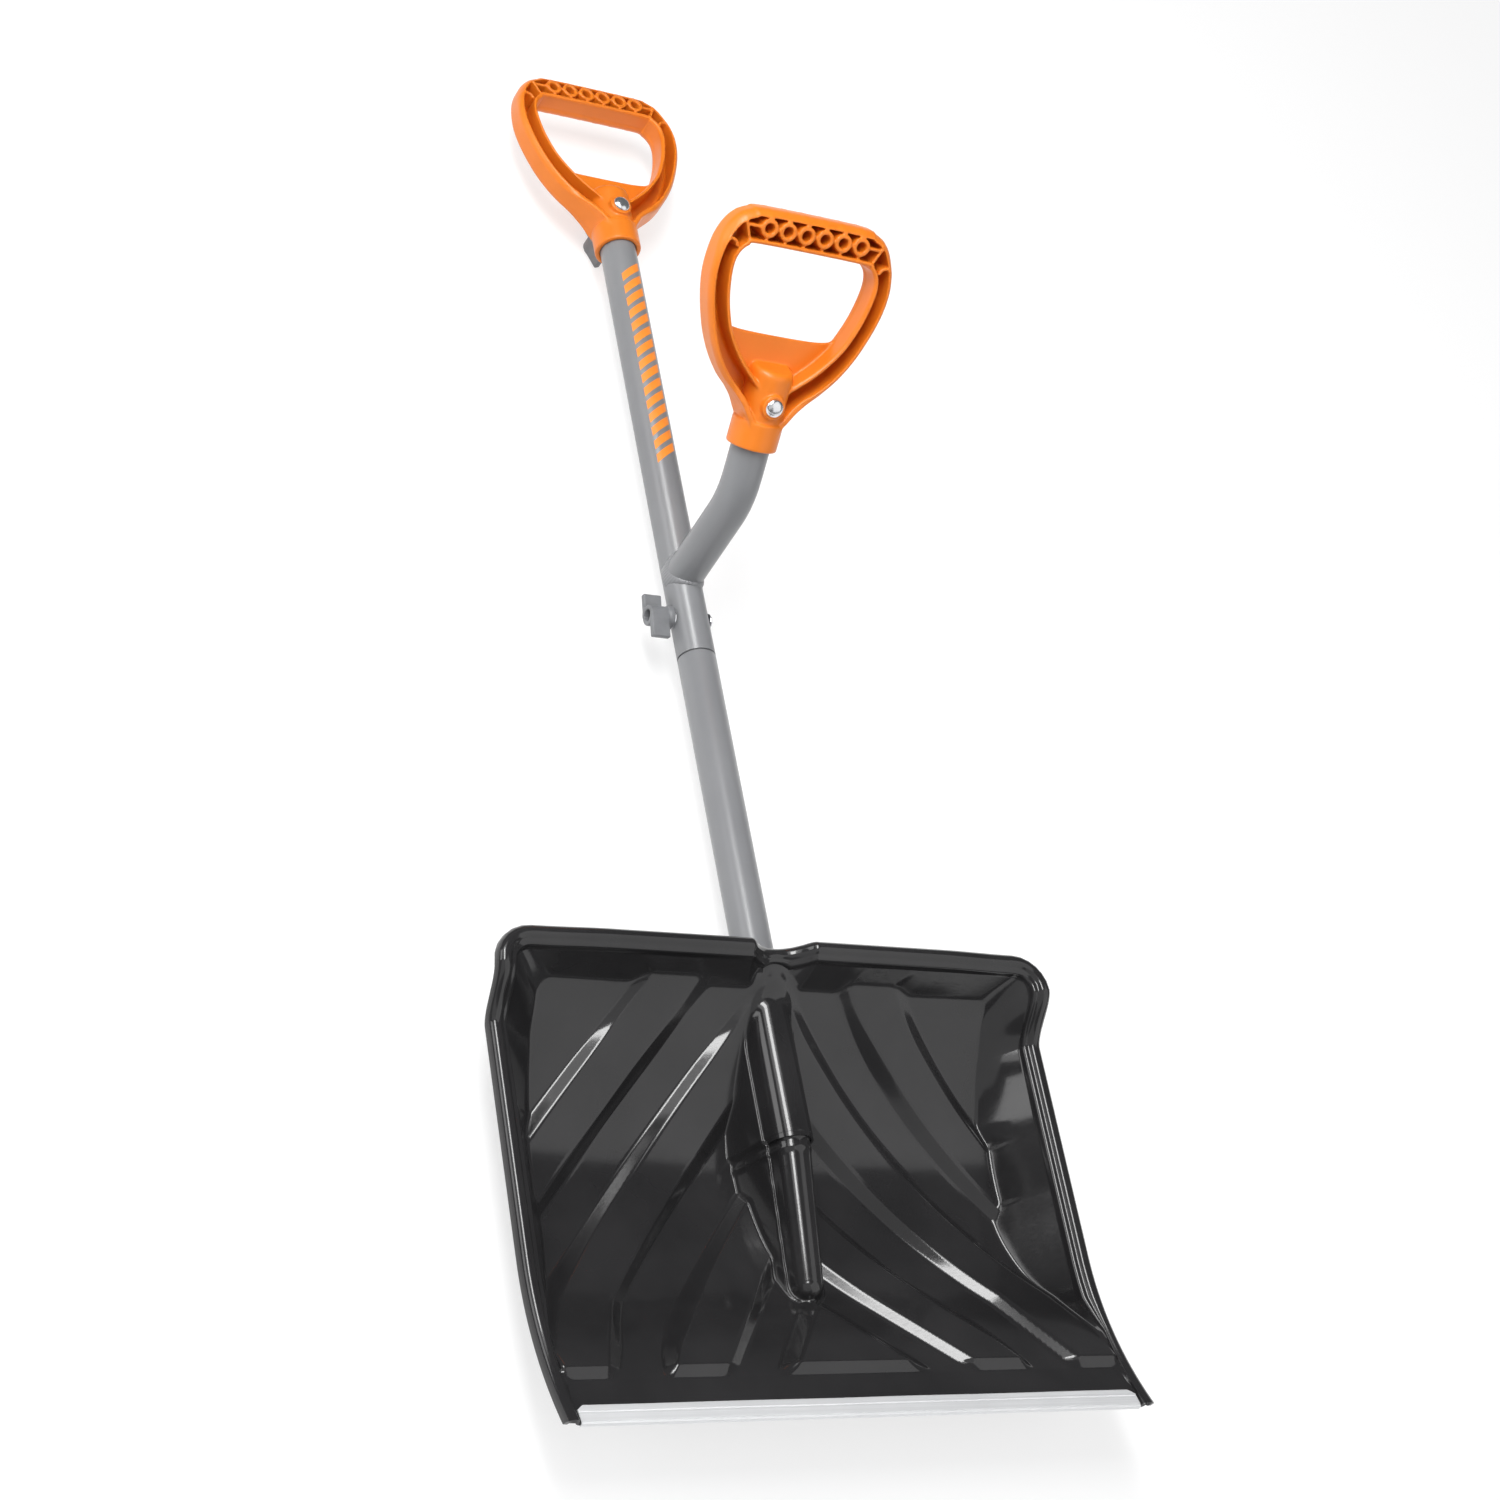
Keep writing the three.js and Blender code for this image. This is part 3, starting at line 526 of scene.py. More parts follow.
SOCKET_BACK, SOCKET_STEP, NOSE_FROM, SOCKET_END = -60.0, -174.0, -178.0, -279.5
SOCKET_RADIUS, NOSE_RADIUS, NOSE_END_RADIUS, NOSE_DROP = 17.5, 14.7, 11.7, 13.0
SOCKET_DRAFT = math.radians(16)
LEDGE_DROP, LEDGE_WIDTH = 3.0, 3.2
# the collar's section, as (radius, place along the shaft), up its outside and back down its bore
COLLAR_WALL = [(17.3, -178), (17.3, -39.2), (16.7, -38), (15.9, -38), (15.7, -38.4), (15.7, -178)]

NEAR_SOCKET = 36.0                             # columns this close to the middle keep their width


def floor_height(y):
    """The scoop's plain floor: an arc, a straight ramp up to the lip, and the flatter lip."""
    arc = SCOOP_Z - np.sqrt(SCOOP_RADIUS ** 2 - (np.maximum(y, RAMP_TOP) - SCOOP_Y) ** 2)
    ramp = (RAMP_TOP - np.clip(y, LIP, RAMP_TOP)) * RAMP_SLOPE
    return arc + ramp + (LIP - np.minimum(y, LIP)) * LIP_SLOPE


def rib_height(x, y):
    """The raised bands that run slanting back from the middle, with soft edges."""
    q = np.sqrt(x * x + 6.0) + RIB_LEAN * (y - REAR)
    # the outer edges bend a little straighter on the ramp
    q = q + 0.35 * np.maximum(-290 - y, 0) * smooth_step((np.abs(x) - 120) / 50)
    total = 1.0
    for i, edge in enumerate(RIB_EDGES):
        t = (q - edge) / RIB_SIDE + 0.5
        ramp = soft_min(soft_max(t, 0, RIB_SOFT), 1, RIB_SOFT)
        total = total + (-ramp if i % 2 == 0 else ramp)
    fade = (y - LIP) / (RIB_FADE - LIP)
    fade = soft_min(soft_max(fade, 0, FADE_SOFT), 1, FADE_SOFT)
    lower_at_rear = 1 - 0.52 * smooth_step((y + 116) / 48)
    return RIB_HEIGHT * total * fade * lower_at_rear


def socket_height(x, y):
    """Top of the tube's socket: a round back on a drafted pedestal, with a tapering nose."""
    step = smooth_step((SOCKET_STEP - y) / 5)
    t = np.clip((NOSE_FROM - y) / 102, 0, 1)
    bead = 0.7 * np.exp(-((y + 184.5) / 2.2) ** 2)
    nose = NOSE_RADIUS + (NOSE_END_RADIUS - NOSE_RADIUS) * t + bead
    radius = SOCKET_RADIUS + (nose - SOCKET_RADIUS) * step
    axis = -NOSE_DROP * t * step
    away = np.hypot(x, np.maximum(0, SOCKET_END - y))
    knee = radius * math.cos(SOCKET_DRAFT)
    dome = axis + np.sqrt(np.maximum(radius ** 2 - np.minimum(away, knee) ** 2, 0))
    dome = dome - np.maximum(away - knee, 0) / math.tan(SOCKET_DRAFT)
    ledge = axis - LEDGE_DROP
    side = ledge - (away - radius - LEDGE_WIDTH) / math.tan(SOCKET_DRAFT)
    return soft_max(dome, soft_min(side, ledge, 1.2), 1.4)


def blade_height(x, y):
    """Top of the scoop: floor, bands and socket, filleted where the socket stands on the floor."""
    base = floor_height(y) + rib_height(x, y)
    return soft_max(base, np.where(y < SOCKET_BACK, socket_height(x, y), -100), 6.5)


def side_foot(y):
    """Half width of the floor, wider towards the front and at the lip."""
    flare = FOOT_FLARE * smooth_step((-220 - y) / 130)
    return FOOT + flare + LIP_FLARE * np.clip((LIP - y) / 14, 0, 1)


def crest_height(y):
    """Height of the side rim: low in the middle, rising to the front tip and to the rear corner."""
    tip = TIP_RISE * (np.maximum(TIP_FROM - y, 0) / TIP_LENGTH) ** 2
    base = SIDE_CREST + SIDE_GAIN * np.clip((y - TIP_FROM) / 177, 0, 1)
    to_corner = (CORNER_Z - SIDE_CREST - SIDE_GAIN) * smooth_step((y - CORNER_FROM) / 38)
    return base + tip + to_corner


def crest_over(x, y, angle):
    """Rim crest over a point of the floor's edge. The angle tells side, corner and rear apart."""
    if angle >= math.pi / 2:
        across = x * (CREST - CREST_CORNER) / (FOOT - FOOT_CORNER)
        dip = 1 - soft_min(1.06 * (across / NOTCH_HALF) ** 2, 1.0, 0.2)
        rear_z = REAR_RIM_Z + (CORNER_Z - REAR_RIM_Z) * smooth_step((abs(across) - 140) / 60)
        return across, REAR_RIM_Y, rear_z - NOTCH_DEPTH * dip
    if angle > 0:
        return (CREST - CREST_CORNER + CREST_CORNER * math.cos(angle),
                REAR_RIM_Y - CREST_CORNER + CREST_CORNER * math.sin(angle), CORNER_Z)
    stretch = (REAR_RIM_Y - CREST_CORNER - CORNER_FROM) / (TURN_START - CORNER_FROM)
    along = y if y < CORNER_FROM else CORNER_FROM + (y - CORNER_FROM) * stretch
    return CREST, along, float(crest_height(along))


# the rim's outline from the top of the wall over its crest, as (out of the scoop, up)
RIM = ((-9.0, -9.0), (-8.6, -6.6), (-7.9, -5.0), (-6.9, -4.1), (-5.6, -3.7), (-4.3, -3.3),
       (-3.5, -2.6), (-2.7, -1.5), (-1.5, -0.55), (0.2, 0.0), (2.0, 0.0), (3.6, -0.5), (5.0, -1.6),
       (6.2, -3.2), (6.9, -5.2), (7.2, -8.6))


def wall_profile(foot, crest, out, inner_z, scale):
    """Points from the floor's edge up the wall and over the rim. `out` is level and leaves the
    scoop; `scale` narrows the rim's inner side where the wall is low."""
    level = np.array((*out, 0.0))
    f, c = np.array(foot), np.array(crest)
    rim = [c + (a * level + (0, 0, h)) * (scale if a < 0 else 1.0) for a, h in RIM]
    wall = rim[0] - f
    length = np.linalg.norm(wall)
    along = wall / length
    start = f - level * FILLET
    start[2] = inner_z
    end = f + along * min(FILLET, 0.4 * length)
    turn = [curve_at(start, f, end, t) for t in (0.2, 0.4, 0.6, 0.8, 1.0)]
    top = rim[0] - along * min(1.5, 0.3 * length)
    return turn + [end + (top - end) * t for t in np.linspace(0, 1, 9)[1:]] + rim


def floor_grid():
    """Rows of x and y over the floor, front to rear, and the direction in which each row ends."""
    rows = np.concatenate([np.arange(FRONT, LIP - 1, 2.0), np.arange(LIP - 1, RIB_FADE + 1, 0.9),
                           np.arange(RIB_FADE + 1, TURN_START - 0.6, 1.2), [TURN_START]])
    # the last rows turn the rear corners
    turns = np.radians(np.arange(15, 91, 15))
    inner = FOOT_CORNER - FILLET
    y = np.concatenate([rows, TURN_START + inner * np.sin(turns)])
    edge = np.concatenate([side_foot(rows) - FILLET, FOOT - FOOT_CORNER + inner * np.cos(turns)])
    half = np.concatenate([np.arange(0, NEAR_SOCKET, 0.6),
                           np.arange(NEAR_SOCKET, FOOT - FILLET, 1.3)])
    share = half / half[-1]
    share = np.concatenate([-share[::-1], share[1:]])
    # near the socket columns keep their width, further out they share what is left
    known = [0, NEAR_SOCKET / half[-1], 1]
    x = np.array([np.interp(np.abs(share), known, [0, NEAR_SOCKET, e]) * np.sign(share) for e in edge])
    y = np.repeat(y[:, None], len(share), 1)
    # where a raised band ends at a wall, the wall's foot stands further out
    end_x, end_y = x[:, -1:], y[:, -1:]
    side_shift = 0.66 * rib_height(end_x + FILLET, end_y) * (end_y < TURN_START + 0.1)
    x = x * (1 + side_shift / end_x * np.clip((np.abs(x) - 60) / 120, 0, 1))
    rear_shift = 1.06 * rib_height(x, REAR + 0 * x) * smooth_step((y + 96) / 26)
    return x, y + rear_shift, np.concatenate([np.zeros(len(rows)), turns])


def blade_mesh():
    """The scoop's upper skin, floor and walls and rim, with normals for the floor's vertices."""
    x, y, angles = floor_grid()
    points = list(np.stack([x, y, blade_height(x, y)], -1).reshape(-1, 3))
    nrow, ncol = x.shape
    at = np.arange(nrow * ncol).reshape(nrow, ncol)
    faces = [(at[j, k], at[j, k + 1], at[j + 1, k + 1], at[j + 1, k])
             for j in range(nrow - 1) for k in range(ncol - 1)]
    # the chain round the floor's edge: left side, rear, right side
    chain = [(at[j, 0], -1, angles[j]) for j in range(nrow)]
    chain += [(at[-1, k], 0, math.pi / 2) for k in range(1, ncol - 1)]
    chain += [(at[j, -1], 1, angles[j]) for j in range(nrow - 1, -1, -1)]
    last = None
    for index, side, angle in chain:
        px, py, pz = points[index]
        out = np.array((math.cos(angle) * side, math.sin(angle)))
        fx, fy = np.array((px, py)) + out * FILLET
        fz = float(blade_height(fx, fy))
        cx, cy, cz = crest_over(abs(fx), fy, angle)
        cx = math.copysign(cx, px)
        full_rim = REAR_FULL_RIM if side == 0 else SIDE_FULL_RIM
        scale = float(np.clip((cz - fz) / full_rim, 0.3, 1))
        ring = [index]
        for spot in wall_profile((fx, fy, fz), (cx, cy, cz), out, pz, scale):
            ring.append(len(points))
            points.append(spot)
        if last is not None:
            for k in range(len(ring) - 1):
                faces.append((last[k], ring[k], ring[k + 1], last[k + 1]))
        last = ring
    return np.array(points), np.array(faces), slopes(x, y)


def slopes(x, y, reach=0.2):
    """Upward normals of the scoop's surface, worked out from its heights."""
    across = (blade_height(x + reach, y) - blade_height(x - reach, y)) / (2 * reach)
    along = (blade_height(x, y + reach) - blade_height(x, y - reach)) / (2 * reach)
    normals = np.stack([-across, -along, np.ones_like(x)], -1).reshape(-1, 3)
    return normals / np.linalg.norm(normals, axis=1)[:, None]


def thickened(points, faces, thickness):
    """Closes a sheet of quads with a copy of itself, moved back along its normals."""
    a, b, c, d = (points[faces[:, k]] for k in range(4))
    face_normal = np.cross(c - a, d - b)
    normals = np.zeros_like(points)
    for k in range(4):
        np.add.at(normals, faces[:, k], face_normal)
    normals /= np.maximum(np.linalg.norm(normals, axis=1), 1e-12)[:, None]
    count = len(points)
    under = points - normals * thickness[:, None]
    edges = np.concatenate([faces[:, [k, (k + 1) % 4]] for k in range(4)])
    key, back = edges[:, 0] * count + edges[:, 1], edges[:, 1] * count + edges[:, 0]
    rim = edges[~np.isin(key, back)]
    walls = np.stack([rim[:, 1], rim[:, 0], rim[:, 0] + count, rim[:, 1] + count], 1)
    return np.concatenate([points, under]), np.concatenate([faces, faces[:, ::-1] + count, walls])


def make_blade():
    points, faces, upward = blade_mesh()
    # thinner over the tube, which comes up to the socket's back
    over_tube = np.clip(1 - (np.abs(points[:, 0]) - 16) / 8, 0, 1)
    over_tube = over_tube * (points[:, 1] > NOSE_FROM) * (points[:, 2] > -8)
    points, faces = thickened(points, faces, WALL - 1.2 * over_tube)
    blade = new_piece("scoop_blade", points, faces, BLACK, replaces=("blade",))
    sharpen(blade, 50)
    # the scoop's own slopes shade it, so that highlights run smoothly along its bands
    mesh = blade.data
    corner = np.zeros(len(mesh.loops), int)
    mesh.loops.foreach_get("vertex_index", corner)
    normals = np.zeros((len(corner), 3))
    known = corner < len(upward)
    normals[known] = upward[corner[known]]
    mesh.normals_split_custom_set(normals)
    points, faces = turned(COLLAR_WALL, 72)
    collar = new_piece("socket_collar", points, faces, BLACK, place=ALONG_Y)
    sharpen(collar, 30)


# ---------------------------------------------------------------- wear strip
STRIP_HALF, STRIP_LEAF, STRIP_THICK, STRIP_CUT = 219.6, 13.4, 1.0, 5.0
GAP = 0.3


def strip_profile():
    """The folded sheet's section, as (height over the lip, distance from its front edge)."""
    top, low = GAP, -WALL - GAP
    face, under, nose = top + STRIP_THICK, low - STRIP_THICK, -GAP - STRIP_THICK
    crease = 0.56 * STRIP_LEAF
    outer = [(face, STRIP_LEAF), (face + 0.1, crease + 0.5), (face - 0.5, crease),
             (face - 0.1, crease - 0.5), (face - 0.7, 0.6), (top - 0.6, nose), (low + 0.2, nose),
             (under, 1.0), (under, STRIP_LEAF)]
    inner = [(low, STRIP_LEAF), (low, 0.0), (low + 0.5, -GAP), (top - 0.5, -GAP), (top, 0.5),
             (top, STRIP_LEAF)]
    return rounded(outer, 0.5, 4) + rounded(inner, 0.3, 2)


def make_strip():
    """A folded band of sheet: an upper leaf with one crease, the hem round the lip, a lower leaf."""
    slope = math.atan(LIP_SLOPE)
    profile = strip_profile()
    stations = [-STRIP_HALF, -STRIP_HALF + 0.4]
    stations += list(np.linspace(-STRIP_HALF + 1, -STRIP_HALF + STRIP_CUT, 10))
    stations += list(np.linspace(-STRIP_HALF + STRIP_CUT, STRIP_HALF - STRIP_CUT, 60)[1:-1])
    stations += [-x for x in stations[11::-1]]
    points, n = [], len(profile)
    front = float(floor_height(FRONT))
    for x in stations:
        # the leaf's corners are cut off slanting, and its face waves very slightly
        from_end = STRIP_HALF - abs(x)
        limit = STRIP_LEAF - max(0.0, STRIP_CUT - from_end) * 0.8
        for t, s in profile:
            s = min(s, limit)
            t = t + 0.12 * math.sin(x * 0.045) * max(0, s / STRIP_LEAF)
            points.append((x, FRONT + s * math.cos(slope) + t * math.sin(slope),
                           front - s * math.sin(slope) + t * math.cos(slope)))
    faces = []
    for i in range(len(stations) - 1):
        for j in range(n):
            k = (j + 1) % n
            faces.append((i * n + j, i * n + k, (i + 1) * n + k, (i + 1) * n + j))
    last = (len(stations) - 1) * n
    faces += [tuple(range(n - 1, -1, -1)), tuple(range(last, last + n))]
    strip = new_piece("steel_edge", points, faces, STRIP, replaces=("wear_strip",))
    sharpen(strip, 28)


# ---------------------------------------------------------------- tubes
ALONG_Y = Matrix.Rotation(-math.pi / 2, 4, "X")
TUBE_FOOT, SPIGOT_LENGTH, SEAM_GROOVE = -174.0, 62.0, 1.3
TOP_END = TOP_BOLT + 12
BRANCH_START, BRANCH_CORNER = Vector((0, 306.1, 0)), Vector((0, 316.6, 99.9))
BRANCH_BEND = 70.0
BRANCH_END = AUX_BOLT + 12 * Vector((0, math.cos(AUX_TILT), math.sin(AUX_TILT)))


def make_tubes():
    """The lower tube with its reduced end inside the upper tube, and a fine groove at the seam."""
    r, inner = TUBE_RADIUS, TUBE_RADIUS - TUBE_WALL
    spigot = inner - GAP
    neck, end = SEAM - SEAM_GROOVE, SEAM + SPIGOT_LENGTH
    lower = [(r, TUBE_FOOT), (r, neck - 0.5), (r - 0.12, neck - 0.15), (r - 0.4, neck),
             (spigot, neck), (spigot, end), (spigot - TUBE_WALL, end),
             (spigot - TUBE_WALL, neck - 2), (inner, neck - 6), (inner, TUBE_FOOT)]
    upper = [(r - 0.35, SEAM), (r - 0.1, SEAM + 0.1), (r, SEAM + 0.4), (r, TOP_END),
             (inner, TOP_END), (inner, SEAM)]
    for part, profile in (("lower", lower), ("upper", upper)):
        points, faces = turned(profile, 128)
        shaft = new_piece(part + "_shaft", points, faces, GREY,
                          replaces=(part + "_tube",), place=ALONG_Y)
        sharpen(shaft, 40)


def branch_line():
    """Points along the branch tube's centre line, close together round its bend."""
    arrive = (BRANCH_CORNER - BRANCH_START).normalized()
    leave = (BRANCH_END - BRANCH_CORNER).normalized()
    reach = BRANCH_BEND * math.tan(arrive.angle(leave) / 2)
    before, after = BRANCH_CORNER - arrive * reach, BRANCH_CORNER + leave * reach
    line = [BRANCH_START - arrive * 2 + (before - BRANCH_START) * (i / 12) for i in range(12)]
    line += [curve_at(before, BRANCH_CORNER, after, i / 32) for i in range(33)]
    return line + [after + (BRANCH_END - after) * (i / 8) for i in range(1, 9)]


def make_branch(sides=96):
    """The bent branch tube, with its bore and both ends closed by the wall's thickness."""
    line = branch_line()
    points, faces = [], []
    for i, p in enumerate(line):
        along = (line[min(i + 1, len(line) - 1)] - line[max(i - 1, 0)]).normalized()
        across = Vector((1, 0, 0))
        third = along.cross(across)
        for r in (TUBE_RADIUS, TUBE_RADIUS - TUBE_WALL):
            for k in range(sides):
                a = 2 * math.pi * k / sides
                points.append(p + (across * math.cos(a) + third * math.sin(a)) * r)
    ring = 2 * sides
    for i in range(len(line) - 1):
        for k in range(sides):
            n = (k + 1) % sides
            a, b = i * ring, (i + 1) * ring
            faces.append((a + k, b + k, b + n, a + n))
            faces.append((a + sides + k, a + sides + n, b + sides + n, b + sides + k))
    last = (len(line) - 1) * ring
    for k in range(sides):
        n = (k + 1) % sides
        faces.append((k, n, sides + n, sides + k))
        faces.append((last + k, last + sides + k, last + sides + n, last + n))
    branch = new_piece("branch_tube", points, faces, GREY, replaces=("aux_tube",))
    sharpen(branch, 40)


def make_weld():
    """A rippled bead of weld round the foot of the branch tube."""
    arrive = (BRANCH_CORNER - BRANCH_START).normalized()

    def distance(x, y, z):
        on_shaft = np.hypot(x, z) - TUBE_RADIUS
        dy, dz = y - BRANCH_START.y, z - BRANCH_START.z
        along = dy * arrive.y + dz * arrive.z
        off = dy * arrive.z - dz * arrive.y
        on_branch = np.hypot(x, off) - TUBE_RADIUS
        turn = np.arctan2(x, off + 0 * along)
        bead = 2.2 + 0.22 * np.sin(turn * 44) + 0.2 * np.sin(turn * 3 + 1)
        return np.maximum(np.hypot(on_shaft, on_branch) - bead, -z - 1.5)

    low, high = (-19.5, BRANCH_START.y - 21, -3), (19.5, BRANCH_START.y + 23, 20)
    points, faces = from_field(distance, low, high, 0.7)
    new_piece("weld_bead", points, faces, GREY, replaces=("aux_weld",))


BAR_START, BAR_COUNT, BAR_WIDTH, BAR_PITCH = 417.0, 15, 8.2, 13.4
BAR_LEAN, BAR_HALF_TURN, BAR_STEPS = 7.5, 0.60, 14
INK_BOTTOM, INK_TOP = 0.05, 0.11               # heights over the paint


def make_stripes():
    """Plain slanted bars printed along the top of the upper tube."""
    points, faces = [], []
    for b in range(BAR_COUNT):
        base = len(points)
        for lift in (INK_BOTTOM, INK_TOP):
            for i in range(BAR_STEPS + 1):
                share = 2 * i / BAR_STEPS - 1
                turn = BAR_HALF_TURN * share
                y = BAR_START + b * BAR_PITCH + BAR_LEAN * share
                r = TUBE_RADIUS + lift
                points.append((r * math.sin(turn), y, r * math.cos(turn)))
                points.append((r * math.sin(turn), y + BAR_WIDTH, r * math.cos(turn)))
        up = 2 * (BAR_STEPS + 1)
        for i in range(BAR_STEPS):
            p, q = base + 2 * i, base + up + 2 * i
            faces += [(q, q + 2, q + 3, q + 1), (p, p + 1, p + 3, p + 2), (p, p + 2, q + 2, q),
                      (p + 1, q + 1, q + 3, p + 3)]
        p, q = base, base + up
        faces.append((p, q, q + 1, p + 1))
        p, q = base + 2 * BAR_STEPS, base + up + 2 * BAR_STEPS
        faces.append((p, p + 1, q + 1, q))
    sharpen(new_piece("printed_bars", points, faces, PRINT), 40)


# ---------------------------------------------------------------- grips
OUTER = ((8, -24), (16, -14), (23, -4), (31, 4), (43, 14.5), (54, 28), (64, 46), (72, 68),
         (76, 86), (76.6, 101), (74.8, 116), (70.5, 127.5), (64, 136), (54.5, 141.5), (40, 144.3))
UPPER_INSIDE = ((57.2, 79), (60, 97), (58.5, 108.5), (52.5, 115.8), (42, 118.3))
OPENING = ((20, 49.7), (38, 50.8), (47, 53.5), (52, 60)) + UPPER_INSIDE
RAIL_INSIDE = ((6, 10), (20, 20.5), (34, 34), (46, 50), (52.5, 64)) + UPPER_INSIDE
HALF_DEPTH, COLLAR, COLLAR_END, RING_TOP = 12.25, 20.0, -36.3, -14.5
BLOCK, BLOCK_TOP, BORE_END = 17.6, 28.0, 14.0
BOSS_ROW, BOSS_PITCH, BOSS_COUNT, BOSS_RADIUS, BOSS_HOLE = 131.0, 15.9, 6, 7.1, 4.0
OUTER_WALL, INNER_WALL, CHANNEL_FLOOR = 4.4, 3.2, -9.25
RIB = 1.15                                     # half a rib's thickness
RIB_TOP, BOSS_TOP, BAR_RIB_HALF = 10.4, 11.6, 57.0
CROSS_X, CROSS_A, CROSS_LEAN = 53.6, 121.0, 0.45
ARCH_X, ARCH_A, ARCH_RADIUS = 67.2, 113.0, 5.4
WEB_BOTTOM, WEB_TOP = -7.6, -4.4
SEAT_RADIUS = 9.6


def stiffeners(x, a, n, shell, inside):
    """Bosses and ribs that stand in the bar's channel, and the rounded ends of the rails' channels."""
    side = np.abs(x)
    ribs = np.maximum(np.abs(a - BOSS_ROW) - RIB, side - BAR_RIB_HALF)
    cross = np.abs(side - CROSS_X - CROSS_LEAN * (a - CROSS_A)) - RIB
    ribs = np.minimum(ribs, np.maximum(cross, 110 - a))
    holes, rings = 99.0, 99.0
    for i in range(BOSS_COUNT):
        bx = (i - (BOSS_COUNT - 1) / 2) * BOSS_PITCH
        away = np.hypot(x - bx, a - BOSS_ROW)
        ribs = soft_min(ribs, np.maximum(np.abs(x - bx) - RIB, 112 - a), 1.2)
        holes = np.minimum(holes, away - BOSS_HOLE)
        rings = np.minimum(rings, away - BOSS_RADIUS)
    # the rail's channel ends in an arch below the cross rib
    arch = np.abs(np.hypot(side - ARCH_X, a - ARCH_A) - ARCH_RADIUS) - RIB
    ribs = soft_min(ribs, np.maximum(arch, ARCH_A - a), 1.5)
    made = soft_min(np.maximum(ribs, n - RIB_TOP), np.maximum(rings, n - BOSS_TOP), 1.6)
    made = soft_max(made, -holes, 0.8)
    return np.maximum(np.maximum(made, shell + 0.4), np.maximum(1.5 - inside, -11.5 - n))


def grip_frame(x, a, n):
    """The D of rails and bar with its channels, stiffeners and the web below the hand opening, and
    the flat distance to its outer outline."""
    flat = [v[:, :, 0] for v in np.broadcast_arrays(x, a)]
    outer, opening, inside = (outline_distance(mirrored_spline(side), *flat)[:, :, None]
                              for side in (OUTER, OPENING, RAIL_INSIDE))
    # the outer side is rounded most along the bar, the inner side only a little
    along_bar = smooth_step((a - 100) / 28)
    outer_round = np.where(n < 0, 5.5, 6.5 + 5.5 * along_bar)
    inner_round = np.where(n < 0, 5.0, 3.2 - 1.2 * along_bar)
    shell = soft_max(slab(outer, n, -HALF_DEPTH, HALF_DEPTH, outer_round),
                     slab(-inside, n, -HALF_DEPTH, HALF_DEPTH, inner_round), 0.6)
    outer_wall = OUTER_WALL + 1.2 * along_bar
    between_walls = soft_max(outer + outer_wall, INNER_WALL - inside, 3.0)
    channel = soft_max(between_walls, CHANNEL_FLOOR - n, 3.0)
    body = soft_max(shell, -channel, 1.0)
    body = soft_min(body, stiffeners(x, a, n, shell, inside), 1.3)
    web = slab(np.maximum(inside - 1.5, -opening), n, WEB_BOTTOM, WEB_TOP, 1.0)
    return soft_min(body, web, 2.0), outer


def grip_distance(x, a, n):
    """A D-grip: x across, a along the shaft from the bolt, n towards the channels' open side."""
    body, outer = grip_frame(x, a, n)
    # the outer walls rise a little where they run into the ring
    rise = 8.4 * smooth_step((26 - a) / 40) - 5.0
    fin = soft_max(np.abs(outer + 2.6) - 2.4, np.abs(n) - HALF_DEPTH - rise, 1.6)
    fin = soft_max(fin, np.abs(a - 1) - 25, 3.0)
    body = soft_min(body, fin, 1.0)
    # the socket round the tube: a block closed at its top, on a wider ring, and seats for the bolt
    round_about = np.hypot(x, n)
    block = soft_max(round_about - BLOCK, COLLAR_END + 4 - a, 1.0)
    block = soft_max(block, (a - BLOCK_TOP + 0.16 * n) / 1.02, 6.0)
    ring = soft_max(soft_max(round_about - COLLAR, COLLAR_END - a, 1.6), a - RING_TOP, 1.6)
    seat = soft_max(np.hypot(x, a) - SEAT_RADIUS, np.abs(n) - COLLAR - 0.2, 1.4)
    seat = soft_max(seat, 8 - np.abs(n), 1.0)
    body = soft_min(body, soft_min(soft_min(block, ring, 1.6), seat, 1.6), 1.6)
    bore = np.maximum(round_about - TUBE_RADIUS - GAP, a - BORE_END)
    return soft_max(body, -bore, 1.0)


def make_grips():
    points, faces = from_field(grip_distance, (-79.2, -38.5, -22.5), (79.2, 147.5, 22.5), 0.9)
    new_piece("top_handle", points, faces, ORANGE, replaces=("top_grip",),
              place=TOP_PLACE)
    new_piece("second_handle", points, faces, ORANGE, replaces=("aux_grip",),
              place=AUX_PLACE)


# ---------------------------------------------------------------- fasteners
BOLT_REACH = 17.9                              # a shank's length past twice its seat's height
WASHER_THICK = 1.3
KNOB_GAP = 0.3
HUB, HUB_FOOT, KNOB_HEIGHT, FOOT_HEIGHT = 8.4, 9.6, 20.0, 3.4
WING_OUT, WING_BOTTOM, WING_OFFSET, WING_HALF, WING_RIM = 19.6, 4.5, 5.8, 2.6, 1.0
KNOB_BORE, BORE_FROM, INSERT_POCKET, POCKET_END = 4.9, 8.0, 6.6, 9.4
KNOB_TURN = {"mid": math.radians(-102.5), "top": math.radians(69)}
TO_BACK = Matrix.Rotation(math.pi, 4, "X")


def bolt_profile(length):
    """A domed bolt: head up from zero, shank down."""
    shank = [(0.01, -length), (3.1, -length), (3.7, -length + 0.8), (3.7, -0.05), (6.8, 0.0)]
    head = [(7.1, 0.05), (7.25, 0.35), (7.1, 0.8), (6.6, 1.5), (5.8, 2.15), (4.6, 2.75),
            (3.2, 3.15), (1.6, 3.37), (0.01, 3.42)]
    return shank + head


def washer_profile():
    """A plain washer's section, standing on zero."""
    top = WASHER_THICK
    return [(4.3, 0.1), (4.45, 0), (8.8, 0), (9, 0.2), (9, top - 0.2), (8.8, top), (4.45, top),
            (4.3, top - 0.1)]


